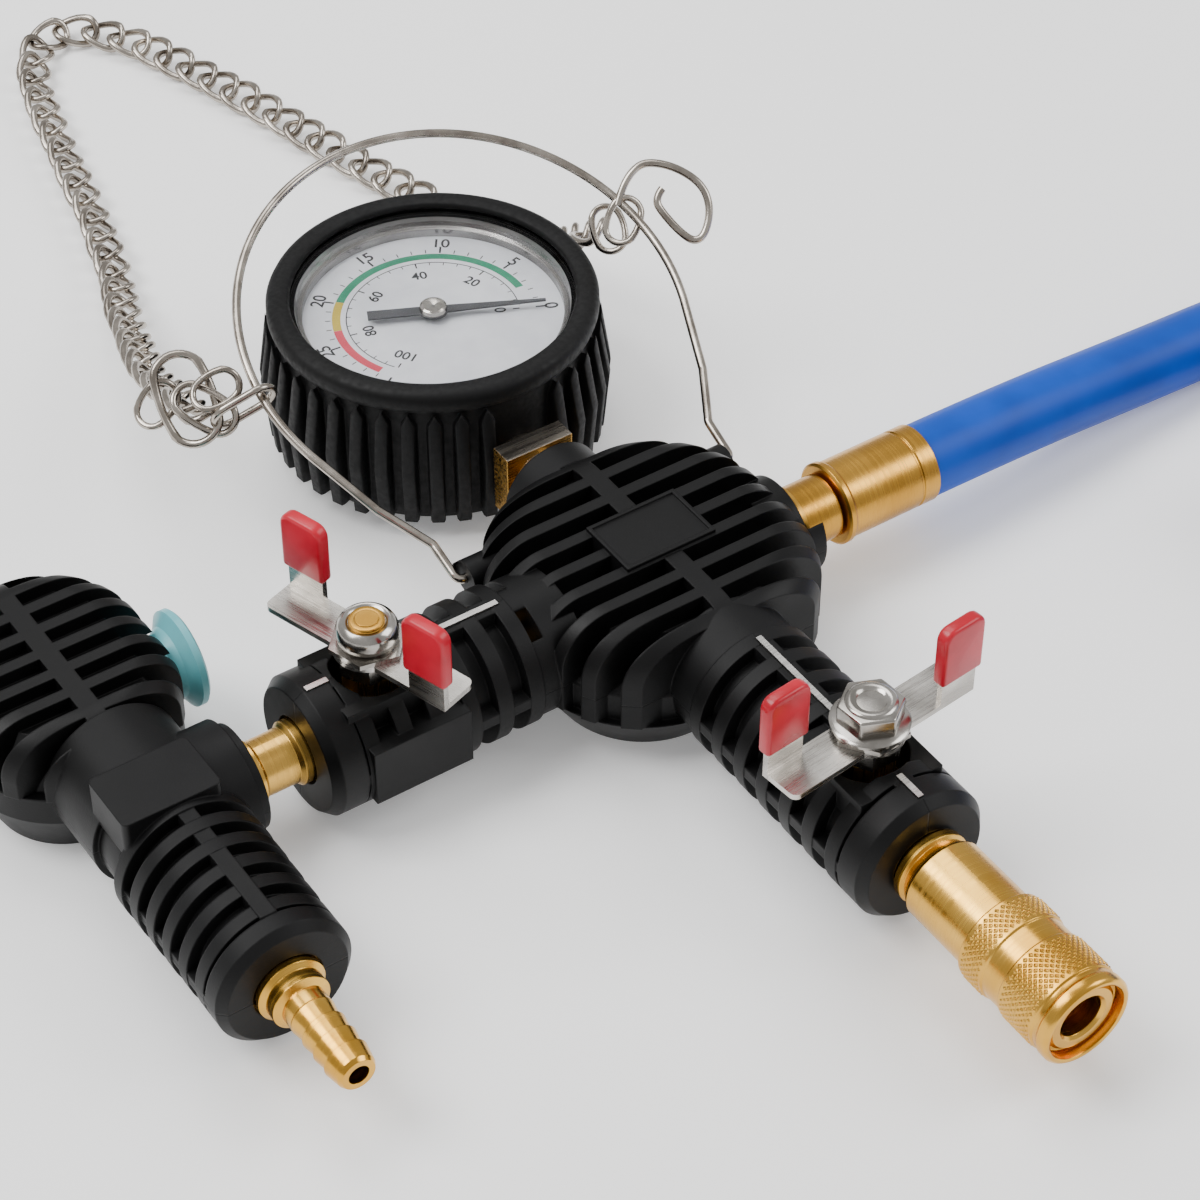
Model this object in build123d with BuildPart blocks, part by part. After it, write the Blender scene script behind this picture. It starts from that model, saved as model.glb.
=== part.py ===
"""Vacuum purge and refill manifold for a cooling system, in millimetres.

The origin is on the surface that the tool lies on, under the crossing of the four ports.
+X points to the blue hose, -Y to the quick coupler, +Y to the gauge, +Z up.
"""
from build123d import *
from math import cos, pi, radians, sin, tan
import os

os.makedirs("parts", exist_ok=True)

# Heights and clearances
axis_height = 16.5  # all four ports lie in one plane, this far above the surface
press_gap = 0.05  # radial gap of a piece that is pressed or screwed in
run_gap = 0.06  # radial gap of a piece that turns or slides
free_gap = 0.4  # room between pieces that only pass each other

# Centre block
block_size = 61.0
block_corner = 25.0
block_dome = 10.0
block_rise = 14.0
block_shoulder = 2.5  # the arms and collars start this far outside its sides
block_lip = 6.0
block_foot_taper = 32.0
rib_pitch = 6.2
rib_width = 2.5
rib_depth = 4.5
spine_width = 4.0
label_length = 20.0
label_width = 14.0
label_raise = 0.9
collar_radius = 10.8
collar_reach = block_size / 2 + block_shoulder + 1.2

# Brass inside
cross_reach = block_size / 2 + block_shoulder
cross_radius = 7.5
cross_bore = 3.2
thread_radius = 5.0
thread_depth = 8.0
valve_radius = 8.5
valve_bore = 2.5
ball_radius = 5.0
seat_length = 2.4
boss_radius = 5.2
boss_height = 13.4
stem_radius = 2.2

# Ribbed arm sleeves
sleeve_radius = 14.0
sleeve_core_radius = 11.0
sleeve_rib = 3.2
sleeve_pitch = 6.9
sleeve_cap = 7.0
sleeve_cap_hole = 6.9
panel_at = 59.8
panel_length = 20.6
panel_height = 12.6
left_arm_end = 78.0
right_arm_end = 85.3
left_stem_at = 62.0
right_stem_at = 67.6
left_handle_turn = 108.0  # of the strip, from the X axis
right_handle_turn = 6.0
sleeve_start = block_size / 2 + block_shoulder

# Valve handles
handle_half_length = 21.5
handle_width = 8.4
handle_sheet = 1.2
tab_length = 8.2
tab_height = 16.6
grip_skin = 0.9
grip_start = 5.0
nut_height = 5.4
packing_height = 3.6

# Gauge
gauge_x = 1.0
gauge_y = 79.0
boot_floor = axis_height - 13.4
boot_top = axis_height + 20.0
boot_radius = 33.4
boot_rib_radius = 36.0
boot_rib_width = 3.4
boot_rib_count = 28
boot_wall = 2.2
boot_lip_radius = 28.9
case_wall = 1.4
lens_thickness = 2.0
dial_height = boot_top - 8.1
dial_thickness = 0.6
pointer_turn = -25.5
pointer_length = 23.0
pointer_tail = 13.4
socket_width = 15.2
socket_length = 5.0

# Gauge movement: a sector drives the pointer's pinion
gear_module = 0.3
pinion_teeth = 10
sector_teeth_per_turn = 80
sector_tail = 4.0
sector_sweep = 30.0
bourdon_radius = 20.5

# Hose
hose_radius = 7.75
hose_bore = 4.0
ferrule_radius = 8.15
ferrule_start = 41.8
ferrule_end = 64.2

# Quick coupler
coupler_body_radius = 8.3
coupler_step_at = right_arm_end + 24.7
coupler_end = coupler_step_at + 18.6
coupler_nose_radius = 7.1
sleeve_outer = 9.5
coupler_socket = 3.6
coupler_mouth = 4.4
mouth_depth = 8.0

# Venturi block
venturi_x = -107.5
venturi_front = 47.5
chamber_x = -109.0
chamber_y = 36.0
chamber_width = 43.0
chamber_length = 52.0
chamber_corner = 20.0
venturi_neck_radius = 12.0
nipple_end = 89.0
button_y = 33.0
button_radius = 9.75
button_face = -82.8
button_hole = 7.8

# Bail and chain
bail_y = 18.0
bail_height = axis_height + 4.0
bail_wire = 0.9
bail_half_width = 43.6
bail_tilt = 21.0
lug_start = sleeve_start - 11.0
lug_face = sleeve_start - 2.7
lug_flat_length = 26.0
bail_pin = lug_face - 2.8
chain_wire = 0.8
link_inside = 8.0
link_width = 7.0  # between the wire's centres
link_step = 7.6

UP = Vector(0, 0, 1)


def turning_plane(origin, along):
    """Sketch plane whose y runs along an axis of turning and whose x is the radius."""
    along = Vector(along)
    radial = UP if abs(along.Z) < 0.5 else Vector(1, 0, 0)
    return Plane(origin=origin, x_dir=radial, z_dir=radial.cross(along))


def turned(outline, origin, along):
    """A turned piece: its outline is a list of (radius, distance along the axis)."""
    with BuildPart() as piece:
        with BuildSketch(turning_plane(origin, along)):
            with BuildLine():
                Polyline(*outline, close=True)
            make_face()
        revolve(axis=Axis(origin, along))
    return piece


def save(piece, name):
    """Label a finished piece and write its file."""
    piece.part.label = name
    export_step(piece.part, f"parts/{name}.step")


crossing = (0, 0, axis_height)
port_plane = Plane(origin=crossing)
to_left = (-1, 0, 0)
to_right = (0, -1, 0)
to_hose = (1, 0, 0)
to_gauge = (0, 1, 0)

# ---------------------------------------------------------------- centre block


with BuildPart() as port_ways:
    for direction in (to_left, to_right, to_hose, to_gauge):
        with BuildSketch(Plane(origin=crossing, z_dir=direction)):
            Circle(cross_radius + press_gap)
        extrude(amount=collar_reach + 1)

with BuildPart() as collars:
    for direction in (to_hose, to_gauge):
        with BuildSketch(Plane(origin=crossing, z_dir=direction).offset(block_size / 2 - 8)):
            Circle(collar_radius)
        extrude(amount=collar_reach - block_size / 2 + 8)
    for direction in (to_left, to_right):
        with BuildSketch(Plane(origin=crossing, z_dir=direction).offset(block_size / 2 - 8)):
            Circle(sleeve_radius - 0.6)
        extrude(amount=sleeve_start - block_size / 2 + 8)

with BuildPart() as bail_lugs:
    for side in (-1, 1):
        with BuildSketch(Plane(origin=(side * lug_start, bail_y, bail_height), z_dir=(side, 0, 0))):
            Circle(3.6)
        extrude(amount=9)

with BuildPart() as bail_pin_holes:
    for side in (-1, 1):
        with BuildSketch(Plane(origin=(side * lug_face, bail_y, axis_height), z_dir=(side, 0, 0))):
            with Locations((0, 12)):
                Rectangle(lug_flat_length, 30)
        extrude(amount=12)
        with BuildSketch(Plane(origin=(side * (bail_pin - 0.5), bail_y, bail_height), z_dir=(side, 0, 0))):
            Circle(bail_wire + run_gap)
        extrude(amount=12)

with BuildPart() as block_shell_top:
    with BuildSketch(port_plane):
        RectangleRounded(block_size, block_size, block_corner)
    extrude(amount=block_rise)
    fillet(block_shell_top.edges().group_by(Axis.Z)[-1], block_dome)
    with BuildSketch(port_plane):
        with GridLocations(0, rib_pitch, 1, 9):
            Rectangle(block_size + 10, rib_width)
        Rectangle(spine_width, block_size)
        Rectangle(label_length, label_width)
    extrude(amount=block_rise, mode=Mode.INTERSECT)
    with BuildSketch(port_plane):
        RectangleRounded(block_size - 2 * rib_depth, block_size - 2 * rib_depth, block_corner - rib_depth)
    extrude(amount=block_rise - rib_depth, taper=28)
    with BuildSketch(port_plane):
        RectangleRounded(block_size - rib_depth, block_size - rib_depth, block_corner - rib_depth / 2)
    extrude(amount=block_rise - rib_depth, taper=58)
    with BuildSketch(port_plane):
        Rectangle(label_length, label_width)
        Rectangle(label_length - 1.6, label_width - 1.6, mode=Mode.SUBTRACT)
    extrude(amount=block_rise + label_raise)
    with BuildSketch(port_plane):
        Rectangle(label_length - 1, label_width - 1)
    extrude(amount=block_rise + label_raise / 2)
    add(collars.part)
    add(bail_lugs.part)
    add(bail_pin_holes.part, mode=Mode.SUBTRACT)
    add(port_ways.part, mode=Mode.SUBTRACT)
    split(bisect_by=port_plane, keep=Keep.TOP)
save(block_shell_top, "block_shell_top")

with BuildPart() as block_shell_bottom:
    with BuildSketch(port_plane):
        RectangleRounded(block_size, block_size, block_corner)
    extrude(amount=-block_lip)
    with BuildSketch(port_plane):
        with GridLocations(0, rib_pitch, 1, 9):
            Rectangle(block_size + 10, rib_width)
    extrude(amount=-block_lip, mode=Mode.INTERSECT)
    with BuildSketch(port_plane):
        RectangleRounded(block_size - rib_depth, block_size - rib_depth, block_corner - rib_depth / 2)
    extrude(amount=-block_lip)
    with BuildSketch(port_plane.offset(-block_lip)):
        RectangleRounded(block_size - 1, block_size - 1, block_corner - 0.5)
    extrude(amount=block_lip - axis_height, taper=block_foot_taper)
    add(collars.part)
    add(port_ways.part, mode=Mode.SUBTRACT)
    split(bisect_by=port_plane, keep=Keep.BOTTOM)
save(block_shell_bottom, "block_shell_bottom")

with BuildPart() as brass_cross:
    for direction in (to_left, to_right, to_hose, to_gauge):
        with BuildSketch(Plane(origin=crossing, z_dir=direction)):
            Circle(cross_radius)
        extrude(amount=cross_reach)
    for direction in (to_left, to_right, to_hose, to_gauge):
        with BuildSketch(Plane(origin=crossing, z_dir=direction)):
            Circle(cross_bore)
        extrude(amount=cross_reach, mode=Mode.SUBTRACT)
        with BuildSketch(Plane(origin=crossing, z_dir=direction).offset(cross_reach - thread_depth)):
            Circle(thread_radius)
        extrude(amount=thread_depth, mode=Mode.SUBTRACT)
save(brass_cross, "brass_cross")

# ------------------------------------------------------------------ arm sleeves


def arm_sleeve(along, end, stem_at, panel):
    """A ribbed sleeve around one valve body, whole, before it is split in two halves."""
    along = Vector(along)
    side = UP.cross(along)
    section = Plane(origin=crossing, x_dir=side, z_dir=along)
    with BuildPart() as sleeve:
        with BuildSketch(turning_plane(crossing, along)):
            with Locations((0, sleeve_start)):
                Rectangle(sleeve_core_radius, end - sleeve_start, align=(Align.MIN, Align.MIN))
            count = int((end - sleeve_cap - sleeve_start) / sleeve_pitch) + 1
            for place in range(count):
                with Locations((0, sleeve_start + place * sleeve_pitch)):
                    Rectangle(sleeve_radius, sleeve_rib, align=(Align.MIN, Align.MIN))
            with BuildLine():
                Polyline(
                    (0, end - sleeve_cap),
                    (sleeve_radius, end - sleeve_cap),
                    (sleeve_radius, end - 2),
                    (sleeve_radius - 1.6, end),
                    (0, end),
                    close=True,
                )
            make_face()
        revolve(axis=Axis(crossing, along))
        with BuildSketch(section.offset(sleeve_start)):
            Rectangle(spine_width, 2 * sleeve_radius - 0.3)
            Rectangle(2 * sleeve_radius - 0.3, spine_width * 0.6)
        extrude(amount=end - sleeve_cap - sleeve_start)
        saddle = Plane(origin=crossing + along * stem_at, x_dir=along, z_dir=UP)
        with BuildSketch(saddle):
            Rectangle(20, 18)
        extrude(amount=12.4)
        if panel:
            with BuildSketch(Plane(origin=crossing + along * panel_at, x_dir=along, z_dir=side)):
                Rectangle(panel_length, panel_height)
            extrude(amount=sleeve_radius + 0.6)
        with BuildSketch(section.offset(sleeve_start)):
            Circle(valve_radius + press_gap)
        extrude(amount=end - 1.5 - sleeve_start, mode=Mode.SUBTRACT)
        with BuildSketch(section.offset(sleeve_start)):
            Circle(sleeve_cap_hole)
        extrude(amount=end - sleeve_start, mode=Mode.SUBTRACT)
        with BuildSketch(saddle):
            Circle(boss_radius + 2.4)
        extrude(amount=sleeve_radius + 2, mode=Mode.SUBTRACT)
        for low, high in rod_spans(end, stem_at):
            with BuildSketch(section.offset(low)):
                with Locations((0, rod_height)):
                    Rectangle(rod_width, rod_depth)
            extrude(amount=high - low, mode=Mode.SUBTRACT)
    return sleeve


rod_width = 1.3
rod_depth = 1.6
rod_height = sleeve_radius - 0.55


def rod_spans(end, stem_at):
    """Where the steel strips lie along the top seam, each side of the valve."""
    return ((sleeve_start + 1.5, stem_at - 9.6), (stem_at + 8.8, end - 2.5))


arms = {
    "left": (to_left, left_arm_end, left_stem_at, True),
    "right": (to_right, right_arm_end, right_stem_at, False),
}
for name, (along, end, stem_at, panel) in arms.items():
    side = UP.cross(Vector(along))
    whole = arm_sleeve(along, end, stem_at, panel)
    for half, keep in (("inner", Keep.TOP), ("outer", Keep.BOTTOM)):
        with BuildPart() as sleeve_half:
            add(whole.part)
            split(bisect_by=Plane(origin=crossing, z_dir=side), keep=keep)
        save(sleeve_half, f"{name}_sleeve_{half}")

with BuildPart() as seam_strips:
    for along, end, stem_at, panel in arms.values():
        section = Plane(origin=crossing, x_dir=UP.cross(Vector(along)), z_dir=along)
        for low, high in rod_spans(end, stem_at):
            with BuildSketch(section.offset(low + press_gap)):
                with Locations((0, rod_height + press_gap)):
                    Rectangle(rod_width - 2 * press_gap, rod_depth)
            extrude(amount=high - low - 2 * press_gap)
save(seam_strips, "seam_strips")

# ----------------------------------------------------------------------- valves

seat_inner = ball_radius - 1.4  # how far each seat's near face is from the ball's centre


def valve_body(along, end, stem_at):
    """Brass tube with a thread into the cross, a chamber for the ball and a boss for the stem."""
    last = end - 1.5
    neck = sleeve_start + 0.2
    body = turned(
        [
            (0, cross_reach - thread_depth + 0.5),
            (thread_radius - press_gap, cross_reach - thread_depth + 0.5),
            (thread_radius - press_gap, cross_reach),
            (cross_radius, cross_reach),
            (cross_radius, neck),
            (valve_radius, neck),
            (valve_radius, last),
            (0, last),
        ],
        crossing,
        along,
    )
    section = Plane(origin=crossing, x_dir=UP.cross(Vector(along)), z_dir=along)
    saddle = Plane(origin=crossing + Vector(along) * stem_at)
    with BuildPart() as brass:
        add(body.part)
        with BuildSketch(saddle):
            Circle(boss_radius)
        extrude(amount=boss_height)
        with BuildSketch(section):
            Circle(valve_bore)
        extrude(amount=end, mode=Mode.SUBTRACT)
        chamber_start = stem_at - seat_inner - seat_length
        with BuildSketch(section.offset(chamber_start)):
            Circle(ball_radius + run_gap + 0.1)
        extrude(amount=end - chamber_start, mode=Mode.SUBTRACT)
        with BuildSketch(saddle):
            Circle(stem_radius + run_gap)
        extrude(amount=boss_height, mode=Mode.SUBTRACT)
    return brass


def ball(plane):
    """Steel ball with its through bore along the plane's x and a slot for the stem's tang."""
    with BuildPart() as sphere:
        with Locations(plane):
            Sphere(ball_radius)
        with BuildSketch(Plane(origin=plane.origin, z_dir=plane.x_dir)):
            Circle(valve_bore)
        extrude(amount=ball_radius, both=True, mode=Mode.SUBTRACT)
        with BuildSketch(plane.offset(ball_radius - 1.4)):
            Rectangle(2 * ball_radius, 1.5)
        extrude(amount=2, mode=Mode.SUBTRACT)
    return sphere


def stem(plane, top):
    """Round stem with a tang that turns the ball."""
    with BuildPart() as spindle:
        with BuildSketch(plane.offset(ball_radius - 1.4 + press_gap)):
            Rectangle(2 * stem_radius - 0.6, 1.5 - 2 * press_gap)
        extrude(amount=2)
        with BuildSketch(plane.offset(ball_radius + 0.3)):
            Circle(stem_radius)
        extrude(amount=top - ball_radius - 0.3)
    return spindle


handle_base = boss_height + packing_height + free_gap
handle_top = handle_base + handle_sheet


def handle(plane):
    """Butterfly handle: a strip with one upright tab on each wing, on opposite edges."""
    with BuildPart() as strip:
        with BuildSketch(plane.offset(handle_base)):
            RectangleRounded(2 * handle_half_length, handle_width, 1.5)
            Circle(6.6)
            Circle(stem_radius + press_gap, mode=Mode.SUBTRACT)
        extrude(amount=handle_sheet)
        with BuildSketch(plane.offset(handle_base)):
            with Locations(*tab_places()):
                Rectangle(tab_length, handle_sheet)
        extrude(amount=tab_height)
        corners = strip.edges().filter_by(Axis.Z, reverse=True).group_by(Axis.Z)[-1]
        short_edges = corners.filter_by(lambda edge: edge.length < 2 * handle_sheet)
        fillet(short_edges, 3.5)
    return strip


def tab_places():
    """Middles of the two tabs in the handle's plane."""
    along_strip = handle_half_length - tab_length / 2
    across_strip = (handle_width - handle_sheet) / 2
    return ((along_strip, -across_strip), (-along_strip, across_strip))


def grips(plane):
    """Two dipped vinyl caps on the handle's tabs."""
    thickness = handle_sheet + 2 * grip_skin
    with BuildPart() as caps:
        with BuildSketch(plane.offset(handle_top + grip_start)):
            with Locations(*tab_places()):
                Rectangle(tab_length + 2 * grip_skin, thickness)
        extrude(amount=tab_height - handle_sheet - grip_start + grip_skin)
        top_edges = caps.edges().group_by(Axis.Z)[-1]
        fillet(top_edges.filter_by(lambda edge: edge.length < thickness + 0.1), 3.8)
        with BuildSketch(plane.offset(handle_top + grip_start)):
            with Locations(*tab_places()):
                Rectangle(tab_length + 2 * press_gap, handle_sheet + 2 * press_gap)
        extrude(amount=tab_height - handle_sheet - grip_start + press_gap, mode=Mode.SUBTRACT)
    return caps


def hexagon_ring(plane, across_flats, bore, height):
    """A hexagonal ring, as of a nut or a lock plate."""
    with BuildPart() as ring:
        with BuildSketch(plane):
            RegularPolygon(across_flats / 2, 6, major_radius=False)
            Circle(bore, mode=Mode.SUBTRACT)
        extrude(amount=height)
    return ring


def flanged_nut(plane):
    """Handle nut with a round flange, six flats and a turned top."""
    with BuildPart() as nut:
        with BuildSketch(plane):
            Circle(7.2)
        extrude(amount=1.2)
        with BuildSketch(plane.offset(1.2)):
            RegularPolygon(5.6, 6, major_radius=False)
        extrude(amount=nut_height - 1.2)
        with BuildSketch(plane.offset(nut_height - 1.0)):
            Circle(6.4)
            Circle(5.2, mode=Mode.SUBTRACT)
        extrude(amount=1.0, taper=45, mode=Mode.SUBTRACT)
        with BuildSketch(plane):
            Circle(stem_radius + press_gap)
        extrude(amount=nut_height, mode=Mode.SUBTRACT)
    return nut


def ring_nut(plane):
    """Round lock nut around the stem's wide end."""
    with BuildPart() as nut:
        with BuildSketch(plane):
            Circle(5.5)
            Circle(stem_radius + press_gap, mode=Mode.SUBTRACT)
        extrude(amount=nut_height - 1.2)
        chamfer(nut.edges().group_by(Axis.Z)[-1].sort_by(SortBy.RADIUS)[-1], 0.6)
    return nut


turns = {"left": left_handle_turn, "right": right_handle_turn}
washer_base = handle_top + press_gap
washer_thickness = 1.0
nut_base = washer_base + washer_thickness + press_gap
seat_bore_radius = ball_radius + run_gap
seat_outline = [
    (valve_bore, (seat_bore_radius**2 - valve_bore**2) ** 0.5),
    ((seat_bore_radius**2 - seat_inner**2) ** 0.5, seat_inner),
    (seat_bore_radius, seat_inner),
    (seat_bore_radius, seat_inner + seat_length),
    (valve_bore, seat_inner + seat_length),
]
seats = []
packing_nuts = []
for name, (along, end, stem_at, panel) in arms.items():
    brass = valve_body(along, end, stem_at)
    save(brass, f"{name}_valve_body")
    middle = crossing + Vector(along) * stem_at
    turn = radians(turns[name])
    strip_plane = Plane(origin=middle, x_dir=(cos(turn), sin(turn), 0), z_dir=UP)
    save(ball(strip_plane), f"{name}_ball")
    save(stem(strip_plane, nut_base + nut_height - 0.4), f"{name}_stem")
    save(handle(strip_plane), f"{name}_handle")
    save(grips(strip_plane), f"{name}_grips")
    save(
        hexagon_ring(strip_plane.offset(washer_base), 13.0, stem_radius + press_gap, washer_thickness),
        f"{name}_lock_plate",
    )
    nut = ring_nut if name == "left" else flanged_nut
    save(nut(strip_plane.offset(nut_base)), f"{name}_handle_nut")
    packing_nuts.append(
        hexagon_ring(Plane(origin=middle).offset(boss_height), 10.5, stem_radius + run_gap, packing_height)
    )
    for facing in (1, -1):
        seats.append(turned(seat_outline, middle, Vector(along) * facing))

with BuildPart() as ball_seats:
    add([seat.part for seat in seats])
save(ball_seats, "ball_seats")

with BuildPart() as gland_nuts:
    add([nut.part for nut in packing_nuts])
save(gland_nuts, "gland_nuts")

spigot_start = {  # where what screws into each valve body begins
    "left": left_stem_at + seat_inner + seat_length + 0.3,
    "right": right_stem_at + seat_inner + seat_length + 0.3,
}

# ---------------------------------------------------------------------- nipple

nipple = turned(
    [
        (valve_bore, spigot_start["left"]),
        (thread_radius, spigot_start["left"]),
        (thread_radius, left_arm_end - 1.5),
        (6.3, left_arm_end - 1.5),
        (6.3, left_arm_end + 1.6),
        (5.5, left_arm_end + 2.4),
        (5.5, nipple_end - 2.0),
        (6.3, nipple_end - 1.4),
        (6.3, nipple_end),
        (thread_radius - press_gap, nipple_end),
        (thread_radius - press_gap, nipple_end + thread_depth - 0.5),
        (valve_bore, nipple_end + thread_depth - 0.5),
    ],
    crossing,
    to_left,
)
save(nipple, "link_nipple")

# ----------------------------------------------------------------------- gauge

gauge_foot = (gauge_x, gauge_y, 0)
gauge_axis = Axis(gauge_foot, UP)
boot_bore = boot_radius - boot_wall
case_radius = boot_bore - press_gap
case_bore = case_radius - case_wall
case_floor = boot_floor + 3.0
lens_base = boot_top - 1.5 - lens_thickness
stem_socket_y = collar_reach + 4.1

gauge_boot = turned(
    [
        (0, boot_floor),
        (boot_radius - 3, boot_floor),
        (boot_radius, boot_floor + 3),
        (boot_radius, boot_top - 2),
        (boot_radius - 1.4, boot_top),
        (boot_lip_radius + 0.8, boot_top),
        (boot_lip_radius, boot_top - 0.8),
        (boot_lip_radius, boot_top - 1.4),
        (boot_bore, boot_top - 1.4),
        (boot_bore, case_floor - press_gap),
        (0, case_floor - press_gap),
    ],
    gauge_foot,
    UP,
)
with BuildPart() as ribbed_boot:
    add(gauge_boot.part)
    with BuildSketch(Plane(origin=gauge_foot).offset(boot_floor + 1.5)):
        with PolarLocations(boot_rib_radius - 2, boot_rib_count, start_angle=-90 + 540 / boot_rib_count,
                            angular_range=360 - 720 / boot_rib_count):
            Rectangle(4, boot_rib_width)
    extrude(amount=boot_top - boot_floor - 7.5)
    with BuildSketch(Plane(origin=(0, gauge_y, axis_height), z_dir=to_right)):
        Circle(thread_radius + press_gap)
    extrude(amount=boot_rib_radius + 4, mode=Mode.SUBTRACT)
save(ribbed_boot, "gauge_boot")

case_cup = turned(
    [
        (0, case_floor),
        (case_radius, case_floor),
        (case_radius, lens_base + lens_thickness),
        (case_bore, lens_base + lens_thickness),
        (case_bore, case_floor + case_wall),
        (0, case_floor + case_wall),
    ],
    gauge_foot,
    UP,
)
with BuildPart() as gauge_case:
    add(case_cup.part)
    with BuildSketch(Plane(origin=(0, gauge_y, axis_height), z_dir=to_right)):
        Circle(thread_radius + press_gap)
    extrude(amount=case_radius + 2, mode=Mode.SUBTRACT)
save(gauge_case, "gauge_case")

dial_top = dial_height + dial_thickness
gauge_bezel = turned(
    [
        (26.6, dial_top),
        (case_bore - press_gap, dial_top),
        (case_bore - press_gap, lens_base),
        (28.0, lens_base),
        (27.4, dial_top + 2.2),
        (26.6, dial_top + 1.8),
    ],
    gauge_foot,
    UP,
)
save(gauge_bezel, "gauge_bezel")

gauge_lens = turned(
    [
        (0, lens_base),
        (case_bore - press_gap, lens_base),
        (case_bore - press_gap, lens_base + lens_thickness),
        (0, lens_base + lens_thickness),
    ],
    gauge_foot,
    UP,
)
save(gauge_lens, "gauge_lens")

arbor_radius = 0.7
with BuildPart() as gauge_dial:
    with BuildSketch(Plane(origin=gauge_foot).offset(dial_height)):
        Circle(case_bore - press_gap)
        Circle(arbor_radius + free_gap, mode=Mode.SUBTRACT)
    extrude(amount=dial_thickness)
save(gauge_dial, "gauge_dial")

pointer_angle = radians(pointer_turn)
pointer_base = dial_top + 1.4
pointer_plane = Plane(
    origin=(gauge_x, gauge_y, pointer_base), x_dir=(cos(pointer_angle), sin(pointer_angle), 0), z_dir=UP
)
with BuildPart() as gauge_pointer:
    with BuildSketch(pointer_plane):
        with BuildLine():
            Polyline(
                (-pointer_tail, 1.3),
                (0, 1.2),
                (pointer_length, 0.3),
                (pointer_length, -0.3),
                (0, -1.2),
                (-pointer_tail, -1.3),
                close=True,
            )
        make_face()
        Circle(3.0)
    extrude(amount=0.4)
    with BuildSketch(pointer_plane.offset(-0.9)):
        Circle(1.9)
    extrude(amount=2.3)
    with BuildSketch(pointer_plane.offset(-0.9)):
        Circle(arbor_radius + press_gap)
    extrude(amount=1.9, mode=Mode.SUBTRACT)
save(gauge_pointer, "gauge_pointer")

with BuildPart() as gauge_socket:
    with BuildSketch(Plane(origin=crossing, z_dir=to_gauge).offset(cross_reach - thread_depth + 0.5)):
        Circle(thread_radius - press_gap)
    extrude(amount=thread_depth - 0.5)
    with BuildSketch(Plane(origin=crossing, z_dir=to_gauge).offset(cross_reach)):
        Circle(6.2)
    extrude(amount=stem_socket_y - cross_reach)
    with BuildSketch(Plane(origin=crossing, z_dir=to_gauge).offset(stem_socket_y)):
        Rectangle(socket_width, socket_width)
    extrude(amount=socket_length)
    shank_end = gauge_y - bourdon_radius - 3.5
    with BuildSketch(Plane(origin=crossing, z_dir=to_gauge).offset(stem_socket_y + socket_length)):
        Circle(thread_radius)
    extrude(amount=shank_end - stem_socket_y - socket_length)
    with BuildSketch(Plane(origin=(gauge_x, 0, axis_height), z_dir=to_gauge).offset(shank_end)):
        Rectangle(13, 11)
    extrude(amount=5)
    with BuildSketch(Plane(origin=crossing, z_dir=to_gauge)):
        Circle(2.0)
    extrude(amount=shank_end + 2, mode=Mode.SUBTRACT)
save(gauge_socket, "gauge_socket")

# -------------------------------------------------------------- gauge movement

pinion_radius = gear_module * pinion_teeth / 2
sector_radius = gear_module * sector_teeth_per_turn / 2
centre_distance = pinion_radius + sector_radius
tooth_tip = 0.24 * gear_module / 0.3
tooth_foot = 0.34 * gear_module / 0.3
tooth_rise = 0.22
tooth_sink = 0.34
line_of_centres = radians(60)  # from the sector's pivot to the pointer's arbor
pivot = Vector(
    gauge_x - centre_distance * cos(line_of_centres), gauge_y - centre_distance * sin(line_of_centres), 0
)
toward_arbor = (cos(line_of_centres), sin(line_of_centres), 0)
gear_plane = Plane(origin=pivot, x_dir=toward_arbor, z_dir=UP)
arbor_plane = Plane(origin=gauge_foot, x_dir=toward_arbor, z_dir=UP)
low_plate = axis_height - 1.0
high_plate = low_plate + 8.5
plate_thickness = 1.0
gear_height = low_plate + 4.1
gear_thickness = 1.2

with BuildPart() as movement_frame:
    for height in (low_plate, high_plate):
        with BuildSketch(gear_plane.offset(height)):
            with Locations((6.5, 0)):
                RectangleRounded(28, 9, 3)
            Circle(arbor_radius + run_gap, mode=Mode.SUBTRACT)
            with Locations((centre_distance, 0)):
                Circle(arbor_radius + run_gap, mode=Mode.SUBTRACT)
        extrude(amount=plate_thickness)
    with BuildSketch(gear_plane.offset(low_plate)):
        with Locations((-4.6, -2.6), (centre_distance + 4.5, 0)):
            Circle(1.3)
    extrude(amount=high_plate - low_plate)
    with BuildSketch(Plane.XY.offset(low_plate - plate_thickness)):
        with Locations((gauge_x - 6, shank_end + 5)):
            Rectangle(9, 8, align=(Align.CENTER, Align.MIN))
    extrude(amount=plate_thickness)
save(movement_frame, "movement_frame")

with BuildPart() as pinion_arbor:
    with BuildSketch(arbor_plane.offset(low_plate - 1)):
        Circle(arbor_radius)
    extrude(amount=pointer_base + 1.0 - low_plate + 1)
    with BuildSketch(arbor_plane.offset(gear_height - 0.4)):
        Circle(pinion_radius - tooth_sink)
        with PolarLocations(0, pinion_teeth, start_angle=180 / pinion_teeth):
            Polygon(
                (pinion_radius - tooth_sink - 0.1, -tooth_foot / 2),
                (pinion_radius + tooth_rise, -tooth_tip / 2),
                (pinion_radius + tooth_rise, tooth_tip / 2),
                (pinion_radius - tooth_sink - 0.1, tooth_foot / 2),
                align=None,
            )
    extrude(amount=gear_thickness + 0.8)
save(pinion_arbor, "pinion_arbor")

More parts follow.
